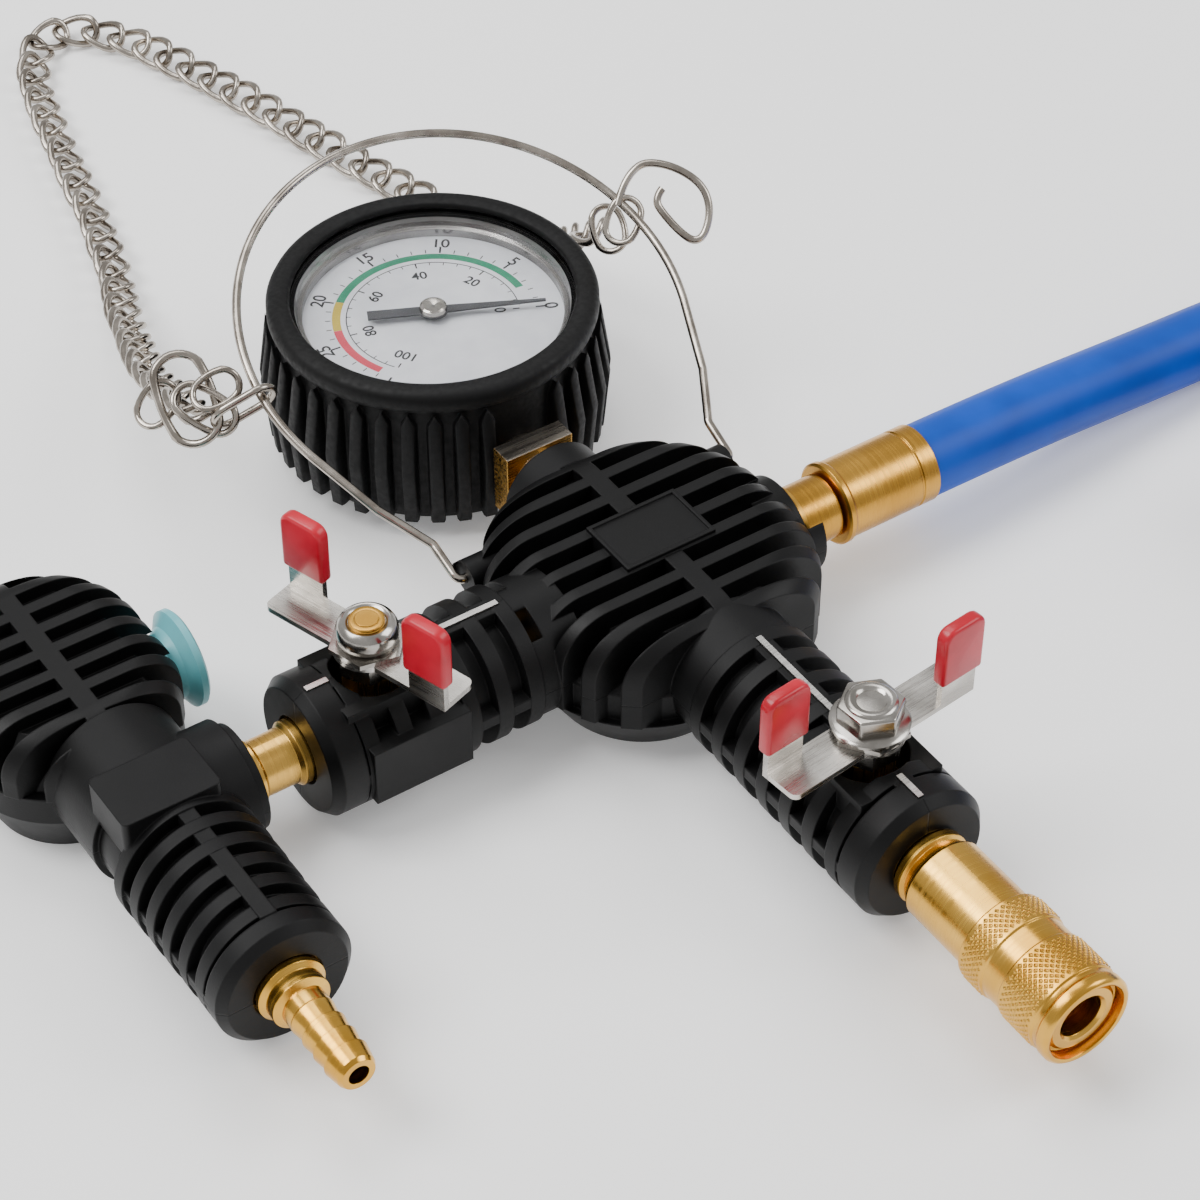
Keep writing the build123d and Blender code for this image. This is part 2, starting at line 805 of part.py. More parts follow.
sector_pitch = 360 / sector_teeth_per_turn
tail_angle = 155.0
with BuildPart() as sector_gear:
    with BuildSketch(gear_plane.offset(gear_height)):
        with BuildLine():
            rim_radius = sector_radius - tooth_sink
            arc = CenterArc((0, 0), rim_radius, -2.5 * sector_pitch, sector_sweep + 5 * sector_pitch)
            Line((0, 0), arc @ 0)
            Line(arc @ 1, (0, 0))
        make_face()
        with PolarLocations(0, int(sector_sweep / sector_pitch) + 5, start_angle=-2 * sector_pitch,
                            angular_range=sector_sweep + 4 * sector_pitch - sector_sweep % sector_pitch,
                            endpoint=True):
            Polygon(
                (sector_radius - tooth_sink - 0.1, -tooth_foot / 2),
                (sector_radius + tooth_rise, -tooth_tip / 2),
                (sector_radius + tooth_rise, tooth_tip / 2),
                (sector_radius - tooth_sink - 0.1, tooth_foot / 2),
                align=None,
            )
        Circle(2.0)
        with PolarLocations(sector_tail / 2, 1, start_angle=tail_angle):
            SlotCenterToCenter(sector_tail, 2.8)
        with PolarLocations(sector_tail, 1, start_angle=tail_angle):
            Circle(0.8, mode=Mode.SUBTRACT)
    extrude(amount=gear_thickness)
    with BuildSketch(gear_plane.offset(low_plate + 0.05)):
        Circle(arbor_radius)
    extrude(amount=high_plate - low_plate + 1.6)
save(sector_gear, "sector_gear")

tail_start = radians(60 + tail_angle)
tail_finish = radians(60 + tail_angle - sector_sweep)
tail_pin = pivot + Vector(cos(tail_start), sin(tail_start)) * sector_tail
tail_path = Vector(cos(tail_finish) - cos(tail_start), sin(tail_finish) - sin(tail_start)) * sector_tail
link_plane = Plane(origin=tail_pin, x_dir=tail_path.normalized(), z_dir=UP)
link_length = 9.0
with BuildPart() as tube_link:
    with BuildSketch(link_plane.offset(gear_height - 1.1)):
        with Locations((link_length / 2, 0)):
            SlotCenterToCenter(link_length, 1.5)
    extrude(amount=0.7)
    with BuildSketch(link_plane.offset(gear_height - 0.5)):
        with Locations((0, 0), (link_length, 0)):
            Circle(0.4)
    extrude(amount=1.5)
save(tube_link, "tube_link")

with BuildPart() as bourdon_tube:
    tube_start = -72.0
    tube_sweep = 272.0
    start_angle = radians(tube_start)
    with BuildSketch(
        Plane(
            origin=(gauge_x, gauge_y, axis_height),
            x_dir=(cos(start_angle), sin(start_angle), 0),
            z_dir=(sin(start_angle), -cos(start_angle), 0),
        )
    ):
        with Locations((bourdon_radius, 0)):
            RectangleRounded(2.6, 8.0, 1.2)
            RectangleRounded(1.4, 6.8, 0.6, mode=Mode.SUBTRACT)
    revolve(axis=Axis(gauge_foot, UP), revolution_arc=tube_sweep)
    with BuildSketch(link_plane.offset(gear_height)):
        with Locations((link_length + 1.0, 2.6)):
            Rectangle(5.2, 8.4)
        with Locations((link_length + 1.0, 0)):
            SlotOverall(3.6, 1.3, mode=Mode.SUBTRACT)
    extrude(amount=0.8)
save(bourdon_tube, "bourdon_tube")

# ------------------------------------------------------------- hose and its end

hose_start = ferrule_start + 3.2
hose_tail = turned(
    [
        (cross_bore - 0.4, cross_reach - thread_depth + 0.5),
        (thread_radius - press_gap, cross_reach - thread_depth + 0.5),
        (thread_radius - press_gap, cross_reach),
        (6.7, cross_reach),
        (6.7, ferrule_start - 0.6),
        (5.4, ferrule_start - 0.1),
        (5.4, hose_start - 0.4),
        (3.3, hose_start - 0.4),
        (hose_bore - press_gap, hose_start + 5),
        (3.3, hose_start + 5.2),
        (hose_bore - press_gap, hose_start + 10),
        (3.3, hose_start + 10.2),
        (hose_bore - press_gap, hose_start + 15),
        (3.3, hose_start + 15.2),
        (3.3, ferrule_end - 3),
        (cross_bore - 0.4, ferrule_end - 3),
    ],
    crossing,
    to_hose,
)
save(hose_tail, "hose_tail")

hose_ferrule = turned(
    [
        (5.45, ferrule_start),
        (8.1, ferrule_start),
        (8.6, ferrule_start + 0.4),
        (8.6, ferrule_start + 1.4),
        (ferrule_radius, ferrule_start + 2.0),
        (ferrule_radius, ferrule_end - 4.4),
        (ferrule_radius - 0.25, ferrule_end - 4.2),
        (ferrule_radius - 0.25, ferrule_end - 3.8),
        (ferrule_radius, ferrule_end - 3.6),
        (ferrule_radius, ferrule_end),
        (hose_radius + press_gap, ferrule_end),
        (hose_radius + press_gap, hose_start - 0.3),
        (5.45, hose_start - 0.3),
    ],
    crossing,
    to_hose,
)
save(hose_ferrule, "hose_ferrule")

coil_centre = Vector(210, -83, 0)
coil_radius = 78.0
hose_diameter = 2 * hose_radius
hose_route = [
    (hose_start, 0, axis_height),
    (84, 0, axis_height),
    (127, 4.2, 9.3),
    (152, 4.5, hose_radius + 0.1),
    (172, coil_centre.Y + coil_radius + hose_radius, hose_radius),
]
runs = [Vector(b) - Vector(a) for a, b in zip(hose_route, hose_route[1:])]
hose_bends = [
    0.45 * min(a.length, b.length) / tan(radians(a.get_angle(b)) / 2) for a, b in zip(runs, runs[1:])
]
print("hose bend radii", [round(bend) for bend in hose_bends])

with BuildPart() as hose:
    with BuildLine() as hose_line:
        FilletPolyline(*hose_route, radius=hose_bends)
    with BuildSketch(Plane(origin=hose_line.line @ 0, z_dir=hose_line.line % 0)):
        Circle(hose_radius)
        Circle(hose_bore, mode=Mode.SUBTRACT)
    sweep(path=hose_line.line)
save(hose, "hose")
hose_area = pi * (hose_radius**2 - hose_bore**2)
print("hose volume over section times length", hose.part.volume / (hose_area * hose_line.wires()[0].length))

top_turn = 260.0  # degrees that the third turn lies on the other two
with BuildPart() as hose_coil:
    with BuildSketch(Plane.XY):
        with Locations((coil_centre.X, coil_centre.Y)):
            Circle(coil_radius + hose_diameter)
            Circle(coil_radius - hose_diameter, mode=Mode.SUBTRACT)
    extrude(amount=hose_diameter)
    with BuildSketch(
        Plane(origin=coil_centre + UP * (hose_diameter * 1.5), x_dir=(-1, 0, 0), z_dir=(0, 1, 0))
    ):
        with Locations((coil_radius, 0)):
            Rectangle(hose_diameter, hose_diameter)
    revolve(axis=Axis(coil_centre, UP), revolution_arc=top_turn)
save(hose_coil, "hose_coil")

fitting_foot = coil_centre + Vector(-coil_radius, 0, hose_diameter * 1.5)
hose_end_fitting = turned(
    [
        (2.6, 0.1),
        (hose_radius, 0.1),
        (hose_radius, 20),
        (5.2, 20.5),
        (5.2, 24),
        (7.4, 24.4),
        (7.4, 33.6),
        (6.6, 34.4),
        (6.0, 34.4),
        (6.0, 46),
        (2.6, 46),
    ],
    fitting_foot,
    to_gauge,
)
save(hose_end_fitting, "hose_end_fitting")

# --------------------------------------------------------------- quick coupler

coupler_base = right_arm_end - 1.5
socket_floor = coupler_step_at - 6.0
mouth_start = coupler_end - 0.6 - mouth_depth
coupler_shell = turned(
    [
        (valve_bore, spigot_start["right"]),
        (thread_radius, spigot_start["right"]),
        (thread_radius, coupler_base),
        (6.3, coupler_base),
        (6.3, right_arm_end + 0.6),
        (7.6, right_arm_end + 0.9),
        (7.6, right_arm_end + 2.4),
        (6.9, right_arm_end + 2.9),
        (coupler_body_radius, right_arm_end + 5.4),
        (coupler_body_radius, coupler_step_at),
        (coupler_nose_radius, coupler_step_at),
        (coupler_nose_radius, coupler_end - 0.6),
        (coupler_nose_radius - 0.6, coupler_end),
        (coupler_mouth + 0.6, coupler_end),
        (coupler_mouth, coupler_end - 0.6),
        (coupler_mouth, mouth_start),
        (coupler_socket, mouth_start),
        (coupler_socket, socket_floor),
        (valve_bore, socket_floor),
    ],
    crossing,
    to_right,
)
ball_count = 4
lock_ball_radius = 1.8
lock_ball_at = coupler_step_at + 8.0
lock_ball_place = Plane(origin=(0, -lock_ball_at, axis_height), z_dir=to_right)
with BuildPart() as coupler_body:
    add(coupler_shell.part)
    for number in range(ball_count):
        angle = radians(45 + 90 * number)
        with BuildSketch(Plane(origin=lock_ball_place.origin, z_dir=(cos(angle), 0, sin(angle)))):
            Circle(lock_ball_radius + run_gap)
        extrude(amount=coupler_nose_radius + 1, mode=Mode.SUBTRACT)
save(coupler_body, "coupler_body")

with BuildPart() as coupler_balls:
    with Locations(lock_ball_place):
        with PolarLocations(coupler_nose_radius - lock_ball_radius - 0.05, ball_count, start_angle=45):
            Sphere(lock_ball_radius)
save(coupler_balls, "coupler_balls")

skirt_start = coupler_step_at - 3.8
skirt_band_end = coupler_step_at + 2.4
grip_band_start = coupler_step_at + 7.2
grip_band_end = coupler_end - 2.8
groove_depth = 0.5
coupler_sleeve = turned(
    [
        (coupler_body_radius + run_gap, skirt_start),
        (sleeve_outer - 0.4, skirt_start),
        (sleeve_outer, skirt_start + 0.5),
        (sleeve_outer, skirt_band_end),
        (sleeve_outer - groove_depth, skirt_band_end + 0.4),
        (sleeve_outer - groove_depth, grip_band_start - 0.4),
        (sleeve_outer, grip_band_start),
        (sleeve_outer, grip_band_end),
        (sleeve_outer - groove_depth, grip_band_end + 0.4),
        (sleeve_outer - groove_depth, grip_band_end + 1.2),
        (sleeve_outer - 0.1, grip_band_end + 1.6),
        (sleeve_outer - 0.1, coupler_end + 0.6),
        (sleeve_outer - 0.7, coupler_end + 1.3),
        (coupler_nose_radius + 0.9, coupler_end + 1.3),
        (coupler_nose_radius + 0.9, coupler_end - 1.2),
        (coupler_nose_radius + run_gap, coupler_end - 1.6),
        (coupler_nose_radius + run_gap, lock_ball_at + 6.6),
        (coupler_nose_radius + 0.9, lock_ball_at + 6.2),
        (coupler_nose_radius + 0.9, lock_ball_at + 3.0),
        (coupler_nose_radius + run_gap, lock_ball_at + 2.6),
        (coupler_nose_radius + run_gap, coupler_step_at + 3.2),
        (coupler_body_radius + run_gap, coupler_step_at + 3.2),
    ],
    crossing,
    to_right,
)
save(coupler_sleeve, "coupler_sleeve")

with BuildPart() as sleeve_spring:
    for place in (0.6, 1.6, 2.6):
        with Locations(Plane(origin=(0, -coupler_step_at - place, axis_height), z_dir=to_right)):
            Torus(coupler_nose_radius + 0.62, 0.45)
save(sleeve_spring, "sleeve_spring")

coupler_poppet = turned(
    [
        (0, socket_floor + 4.4),
        (coupler_socket - run_gap, socket_floor + 4.4),
        (coupler_socket - run_gap, socket_floor + 6.2),
        (1.6, socket_floor + 7.4),
        (1.0, socket_floor + 8.4),
        (1.0, mouth_start - 1.0),
        (0, mouth_start - 0.5),
    ],
    crossing,
    to_right,
)
save(coupler_poppet, "coupler_poppet")

with BuildPart() as poppet_spring:
    for place in (0.6, 1.8, 3.0):
        with Locations(Plane(origin=(0, -socket_floor - place, axis_height), z_dir=to_right)):
            Torus(2.9, 0.45)
save(poppet_spring, "poppet_spring")

# --------------------------------------------------------------- venturi block

chamber = Plane(origin=(chamber_x, chamber_y, axis_height))
venturi_origin = (venturi_x, 0, axis_height)
venturi_section = Plane(origin=venturi_origin, x_dir=(1, 0, 0), z_dir=to_right)
neck_start = chamber_x + 6
core_radius = 8.0
chamber_wall = 2.0
core_back = 44.0
button_stem_radius = 3.0
button_guide = 10.3
venturi_panel_foot = 6.5  # of the raised panel's sides, above the port axis

with BuildPart() as venturi_barrel:
    with BuildSketch(turning_plane(venturi_origin, to_right)):
        Rectangle(sleeve_core_radius, venturi_front, align=(Align.MIN, Align.MIN))
        for place in range(6):
            with Locations((0, 11 + place * 5.6)):
                Rectangle(sleeve_radius - 0.12 * place, 2.8, align=(Align.MIN, Align.MIN))
        with BuildLine():
            Polyline(
                (0, venturi_front - 5),
                (sleeve_radius - 0.6, venturi_front - 5),
                (sleeve_radius - 0.6, venturi_front - 1.6),
                (sleeve_radius - 2.2, venturi_front),
                (0, venturi_front),
                close=True,
            )
        make_face()
    revolve(axis=Axis(venturi_origin, to_right))
    with BuildSketch(venturi_section.offset(11)):
        Rectangle(spine_width * 0.8, 2 * sleeve_radius - 0.7)
        Rectangle(2 * sleeve_radius - 1.3, spine_width * 0.6)
    extrude(amount=venturi_front - 5 - 11)
    with BuildSketch(Plane(origin=venturi_origin, x_dir=(0, 1, 0), z_dir=to_hose).offset(6)):
        Circle(venturi_neck_radius)
    extrude(amount=nipple_end * -1 - venturi_x - 6 - 2.5)
    with BuildSketch(Plane(origin=venturi_origin, x_dir=(0, 1, 0), z_dir=to_hose).offset(6)):
        Circle(venturi_neck_radius - 1.6)
    extrude(amount=nipple_end * -1 - venturi_x - 6 - 0.6)
    with BuildSketch(Plane.XY.offset(axis_height + venturi_panel_foot)):
        with Locations((venturi_x - 1.5, -5.5)):
            RectangleRounded(panel_length - 1, panel_height + 1, 1.2)
    extrude(amount=sleeve_radius + 0.8 - venturi_panel_foot)
    with BuildSketch(venturi_section.offset(-16)):
        Circle(sleeve_radius - 0.6)
    extrude(amount=18)
    with BuildSketch(venturi_section.offset(2)):
        Circle(sleeve_radius - 1.8)
    extrude(amount=7)

with BuildPart() as venturi_ways:
    with BuildSketch(venturi_section.offset(-core_back)):
        Circle(core_radius + press_gap)
    extrude(amount=core_back + venturi_front - 1.5)
    with BuildSketch(venturi_section):
        Circle(sleeve_cap_hole)
    extrude(amount=venturi_front + 1)
    with BuildSketch(Plane(origin=venturi_origin, z_dir=to_hose)):
        Circle(cross_radius + press_gap)
    extrude(amount=30)
    with BuildSketch(Plane(origin=(venturi_x, button_y, axis_height), z_dir=to_hose)):
        Circle(button_hole)
    extrude(amount=30)

with BuildPart() as venturi_shell_top:
    with BuildSketch(chamber):
        RectangleRounded(chamber_width, chamber_length, chamber_corner)
    extrude(amount=block_rise - 1)
    fillet(venturi_shell_top.edges().group_by(Axis.Z)[-1], 9)
    with BuildSketch(chamber):
        with GridLocations(0, rib_pitch * 0.95, 1, 9):
            Rectangle(chamber_width + 10, rib_width)
        Rectangle(spine_width, chamber_length)
    extrude(amount=block_rise, mode=Mode.INTERSECT)
    with BuildSketch(chamber):
        RectangleRounded(
            chamber_width - 2 * rib_depth + 3, chamber_length - 2 * rib_depth + 3, chamber_corner - rib_depth
        )
    extrude(amount=core_radius + chamber_wall, taper=24)
    add(venturi_barrel.part)
    add(venturi_ways.part, mode=Mode.SUBTRACT)
    split(bisect_by=port_plane, keep=Keep.TOP)
save(venturi_shell_top, "venturi_shell_top")

with BuildPart() as venturi_shell_bottom:
    with BuildSketch(chamber):
        RectangleRounded(chamber_width - 1, chamber_length - 1, chamber_corner - 0.5)
    extrude(amount=-block_lip)
    with BuildSketch(chamber.offset(-block_lip)):
        RectangleRounded(chamber_width - 1, chamber_length - 1, chamber_corner - 0.5)
    extrude(amount=block_lip - axis_height, taper=24)
    add(venturi_barrel.part)
    add(venturi_ways.part, mode=Mode.SUBTRACT)
    split(bisect_by=port_plane, keep=Keep.BOTTOM)
save(venturi_shell_bottom, "venturi_shell_bottom")

with BuildPart() as venturi_core:
    with BuildSketch(venturi_section.offset(-core_back)):
        Circle(core_radius)
    extrude(amount=core_back + venturi_front - 1.5)
    with BuildSketch(Plane(origin=venturi_origin, z_dir=to_hose)):
        Circle(cross_radius)
    extrude(amount=-nipple_end - venturi_x - 0.5)
    with BuildSketch(Plane(origin=(venturi_x, button_y, axis_height), z_dir=to_hose)):
        Circle(5.4)
    extrude(amount=button_guide)
    with BuildSketch(Plane(origin=(venturi_x, button_y, axis_height), z_dir=to_hose)):
        Circle(button_stem_radius + run_gap)
    extrude(amount=button_guide, mode=Mode.SUBTRACT)
    with BuildSketch(Plane(origin=venturi_origin, z_dir=to_hose)):
        Circle(valve_bore)
    extrude(amount=30, mode=Mode.SUBTRACT)
    with BuildSketch(Plane(origin=(-nipple_end - thread_depth, 0, axis_height), z_dir=to_hose)):
        Circle(thread_radius)
    extrude(amount=thread_depth + 1, mode=Mode.SUBTRACT)
    with BuildSketch(turning_plane(venturi_origin, to_right)):
        with BuildLine():
            Polyline(
                (0, -core_back + 3),
                (4.5, -core_back + 3),
                (4.5, -18),
                (1.4, -4),
                (1.4, 4),
                (3.0, venturi_front - 11),
                (thread_radius, venturi_front - 11),
                (thread_radius, venturi_front),
                (0, venturi_front),
                close=True,
            )
        make_face()
    revolve(axis=Axis(venturi_origin, to_right), mode=Mode.SUBTRACT)
save(venturi_core, "venturi_core")

barb_outline = [
    (2.0, venturi_front - 10),
    (thread_radius - press_gap, venturi_front - 10),
    (thread_radius - press_gap, venturi_front - 1.5),
    (6.6, venturi_front - 1.5),
    (6.6, venturi_front + 1.2),
    (5.6, venturi_front + 2.0),
    (5.6, venturi_front + 4.4),
    (4.2, venturi_front + 5.0),
    (4.2, venturi_front + 8.0),
]
for place in range(4):
    barb_foot = venturi_front + 8.0 + place * 3.6
    barb_outline.append((4.3, barb_foot + 0.2))
    barb_outline.append((3.7, barb_foot + 3.6))
barb_outline.append((3.2, venturi_front + 23.2))
barb_outline.append((2.0, venturi_front + 23.2))
hose_barb = turned(barb_outline, venturi_origin, to_right)
save(hose_barb, "hose_barb")

button_origin = (button_face, button_y, axis_height)
vent_button = turned(
    [
        (0, -17.5),
        (button_stem_radius, -17.5),
        (button_stem_radius, -10.5),
        (5.0, -10.0),
        (5.0, -8.6),
        (6.0, -8.2),
        (6.0, -5.2),
        (7.2, -3.4),
        (button_radius, -1.8),
        (button_radius, -0.5),
        (button_radius - 0.6, 0),
        (7.4, 0),
        (6.8, -0.6),
        (0, -0.6),
    ],
    button_origin,
    to_hose,
)
save(vent_button, "vent_button")

# -------------------------------------------------------------- bail and chain

tilt = radians(bail_tilt)
bail_plane = Plane(origin=(0, bail_y, bail_height), x_dir=(1, 0, 0), z_dir=(0, -sin(tilt), cos(tilt)))
bail_legs = [(bail_pin, 0), (lug_face + 1.6, 0), (lug_face + 1.9, 9), (bail_half_width - 5.6, 20), (bail_half_width, 36)]
bail_bends = [1.5, 2.4, 2.4]
bail_crown = 95.5
with BuildPart() as bail:
    with BuildLine(bail_plane):
        right_leg = FilletPolyline(*bail_legs, radius=bail_bends)
        ThreePointArc(bail_legs[-1], (0, bail_crown), (-bail_legs[-1][0], bail_legs[-1][1]))
        left_leg = FilletPolyline(*[(-x, y) for x, y in bail_legs], radius=bail_bends)
    with BuildSketch(Plane(origin=bail_plane.from_local_coords((bail_pin, 0, 0)), z_dir=(1, 0, 0))):
        Circle(bail_wire)
    sweep()
save(bail, "bail")


def wire_ring(plane, length, width):
    """A closed oval of round wire in the plane's x and y."""
    straight = length - width
    with BuildPart() as ring:
        with BuildLine(plane) as oval:
            Line((-straight / 2, width / 2), (straight / 2, width / 2))
            CenterArc((straight / 2, 0), width / 2, 90, -180)
            Line((straight / 2, -width / 2), (-straight / 2, -width / 2))
            CenterArc((-straight / 2, 0), width / 2, 270, -180)
        with BuildSketch(Plane(origin=oval.line @ 0, z_dir=oval.line % 0)):
            Circle(chain_wire)
        sweep(path=oval.line)
    return ring


def places_along(route, step):
    """Points a fixed step apart along a route of straight runs."""
    places = [Vector(route[0])]
    for corner in route[1:]:
        run = Vector(corner) - places[-1]
        while run.length >= step:
            places.append(places[-1] + run.normalized() * step)
            run = Vector(corner) - places[-1]
    return places


chain_lie = 3.4
chain_route = [
    (-55.5, 73.5, 34),
    (-54, 90, 27),
    (-50, 112, 18),
    (-39, 142, 7),
    (-31, 162, chain_lie),
    (-25.8, 182, chain_lie),
    (-21, 205, chain_lie),
    (-16, 226, chain_lie),
    (-12, 239, chain_lie),
    (-5, 248, chain_lie),
    (4, 250, chain_lie),
    (11, 243, chain_lie),
    (16, 231, chain_lie),
    (21, 213, chain_lie),
    (26, 195, chain_lie),
    (30, 176, chain_lie),
    (34, 158, chain_lie),
    (39, 140, chain_lie),
    (44.5, 124, chain_lie),
    (48, 109, 8),
    (47.5, 97, 17),
    (45.5, 84.5, 29),
]
link_places = places_along(chain_route, link_step)
link = wire_ring(Plane.XY, link_inside + 2 * chain_wire, link_width)
link_spots = []
for number, (place, following) in enumerate(zip(link_places, link_places[1:])):
    run = (following - place).normalized()
    level = UP.cross(run).normalized()
    lean = radians(45 if number % 2 else -45)
    across = level * cos(lean) + run.cross(level) * sin(lean)
    link_spots.append(Plane(origin=(place + following) * 0.5, x_dir=run, z_dir=run.cross(across)))
with BuildPart() as chain:
    with Locations(*link_spots):
        add(link.part)
save(chain, "chain")


def open_hook(start, finish, flat_normal):
    """A wire hook with an eye round the bail at one end and an open bend at the other."""
    run = Vector(finish) - Vector(start)
    plane = Plane(origin=start, x_dir=run.normalized(), z_dir=Vector(flat_normal))
    reach = run.length
    with BuildPart() as hook:
        with BuildLine(plane) as wire:
            eye = CenterArc((0, 0), 3.4, 20, 320)
            neck = Line(eye @ 1, (reach - 6, -1.2))
            CenterArc((reach - 6, 3.6), 4.8, -90, 215)
        with BuildSketch(Plane(origin=wire.line @ 0, z_dir=wire.line % 0)):
            Circle(chain_wire)
        sweep(path=wire.line)
    return hook

left_ring_at = bail_plane.from_local_coords((-44.9, 52.0, 0))
left_ring_run = Vector(-0.92, 0.19, -0.36)
ring_length = 13.0
left_ring = wire_ring(
    Plane(origin=left_ring_at + left_ring_run * 4.6, x_dir=left_ring_run, z_dir=(0.047, 0.933, 0.358)),
    ring_length,
    link_width,
)
save(left_ring, "left_ring")

right_hook_at = bail_plane.from_local_coords((43.9, 59.5, 0))
right_hook = open_hook(right_hook_at, right_hook_at + Vector(18.1, 6.8, -6.9), (-0.21, 0.912, 0.35))
save(right_hook, "right_hook")
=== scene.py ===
"""Looks of the vacuum refill manifold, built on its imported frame. Lengths are in metres."""
import math
import bpy
from mathutils import Matrix, Vector


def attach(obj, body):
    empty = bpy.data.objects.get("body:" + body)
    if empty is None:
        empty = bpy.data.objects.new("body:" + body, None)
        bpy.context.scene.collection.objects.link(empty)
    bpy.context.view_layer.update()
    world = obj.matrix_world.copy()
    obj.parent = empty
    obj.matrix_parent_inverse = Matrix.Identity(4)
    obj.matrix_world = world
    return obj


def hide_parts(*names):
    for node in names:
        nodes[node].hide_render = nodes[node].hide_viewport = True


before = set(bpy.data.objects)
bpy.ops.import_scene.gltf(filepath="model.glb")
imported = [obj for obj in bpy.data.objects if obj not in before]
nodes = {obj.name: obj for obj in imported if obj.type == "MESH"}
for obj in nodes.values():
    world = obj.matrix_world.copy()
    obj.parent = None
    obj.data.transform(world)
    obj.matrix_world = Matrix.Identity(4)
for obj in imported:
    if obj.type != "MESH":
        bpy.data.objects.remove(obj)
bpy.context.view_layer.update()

MM = 0.001
PORT_HEIGHT = 16.5 * MM
TO_COUPLER = Vector((0, -1, 0))
UP = Vector((0, 0, 1))

# ---------------------------------------------------------------- small helpers


def linear(srgb):
    """An sRGB hex colour as a linear one."""
    parts = [int(srgb[i : i + 2], 16) / 255 for i in (1, 3, 5)]
    return [p / 12.92 if p <= 0.04045 else ((p + 0.055) / 1.055) ** 2.4 for p in parts] + [1.0]


def add_node(tree, kind, inputs=None, **settings):
    """Adds a node, sets its properties, and sets or links its inputs."""
    made = tree.nodes.new(kind)
    for key, value in settings.items():
        setattr(made, key, value)
    for key, value in (inputs or {}).items():
        if isinstance(value, bpy.types.NodeSocket):
            tree.links.new(value, made.inputs[key])
        else:
            made.inputs[key].default_value = value
    return made


def new_finish(name, base, roughness, metallic=0.0):
    """A material with its shader's plain values set. Returns the material, its tree and its shader."""
    material = bpy.data.materials.new(name)
    material.use_nodes = True
    tree = material.node_tree
    shader = tree.nodes["Principled BSDF"]
    shader.inputs["Base Color"].default_value = linear(base)
    shader.inputs["Roughness"].default_value = roughness
    shader.inputs["Metallic"].default_value = metallic
    return material, tree, shader


def place_texture(tree, stretch=(1, 1, 1)):
    """Object coordinates in metres, stretched."""
    where = add_node(tree, "ShaderNodeTexCoord").outputs["Object"]
    return add_node(tree, "ShaderNodeMapping", {"Vector": where, "Scale": stretch}).outputs[0]


def noise(tree, where, scale, detail=3.0, distortion=0.0):
    """Noise of about 1/scale metres."""
    made = add_node(
        tree,
        "ShaderNodeTexNoise",
        {"Vector": where, "Scale": scale, "Detail": detail, "Distortion": distortion},
    )
    return made.outputs["Fac"]


def between(tree, factor, low, high):
    """A value that follows a 0.3 to 0.7 noise from low to high."""
    made = add_node(
        tree,
        "ShaderNodeMapRange",
        {"Value": factor, "From Min": 0.3, "From Max": 0.7, "To Min": low, "To Max": high},
    )
    return made.outputs["Result"]


def two_tone(tree, factor, low, high, start=0.35, stop=0.65):
    """A colour that follows a noise from low to high."""
    ramp = add_node(tree, "ShaderNodeValToRGB", {"Fac": factor})
    ramp.color_ramp.elements[0].position = start
    ramp.color_ramp.elements[1].position = stop
    ramp.color_ramp.elements[0].color = linear(low)
    ramp.color_ramp.elements[1].color = linear(high)
    return ramp.outputs["Color"]


def raise_surface(tree, shader, height, strength, distance, edge=0.0):
    """Bump on the shader's normal, with edges that catch the light over a width."""
    bump = add_node(tree, "ShaderNodeBump", {"Height": height, "Strength": strength, "Distance": distance})
    if edge:
        rounded = add_node(tree, "ShaderNodeBevel", {"Radius": edge}, samples=6)
        tree.links.new(rounded.outputs["Normal"], bump.inputs["Normal"])
    tree.links.new(bump.outputs["Normal"], shader.inputs["Normal"])


# -------------------------------------------------------------------- materials


def moulded_nylon():
    """Glass-filled nylon, spark-eroded mould texture, with a soft sheen on rubbed places."""
    material, tree, shader = new_finish("moulded_black_nylon", "#080808", 0.5)
    shader.inputs["Specular IOR Level"].default_value = 0.2
    where = place_texture(tree)
    fine = noise(tree, where, 2600, 2)
    broad = noise(tree, where, 55, 4)
    tree.links.new(two_tone(tree, broad, "#060606", "#0c0c0d"), shader.inputs["Base Color"])
    tree.links.new(between(tree, broad, 0.38, 0.56), shader.inputs["Roughness"])
    raise_surface(tree, shader, fine, 0.35, 0.00006, 0.00045)
    return material


def moulded_rubber():
    """Soft rubber boot, duller than the nylon."""
    material, tree, shader = new_finish("moulded_black_rubber", "#0a0a0a", 0.6)
    shader.inputs["Specular IOR Level"].default_value = 0.22
    where = place_texture(tree)
    broad = noise(tree, where, 40, 4)
    tree.links.new(two_tone(tree, broad, "#070707", "#0e0e0f"), shader.inputs["Base Color"])
    tree.links.new(between(tree, noise(tree, where, 900, 3), 0.48, 0.68), shader.inputs["Roughness"])
    raise_surface(tree, shader, noise(tree, where, 1800, 2), 0.3, 0.00006, 0.0006)
    return material


def turned_brass(name, along, base_low="#b98a3c", base_high="#d6a954", rough=(0.2, 0.34)):
    """Brass bar turned on a lathe: fine rings across its axis."""
    material, tree, shader = new_finish(name, base_high, rough[0], 1.0)
    stretch = [12.0 if along[i] == 0 else 1500.0 for i in range(3)]
    rings = noise(tree, place_texture(tree, stretch), 1.0, 2)
    broad = noise(tree, place_texture(tree), 70, 4)
    tree.links.new(two_tone(tree, broad, base_low, base_high), shader.inputs["Base Color"])
    tree.links.new(between(tree, rings, *rough), shader.inputs["Roughness"])
    raise_surface(tree, shader, rings, 0.04, 0.00001, 0.0002)
    return material


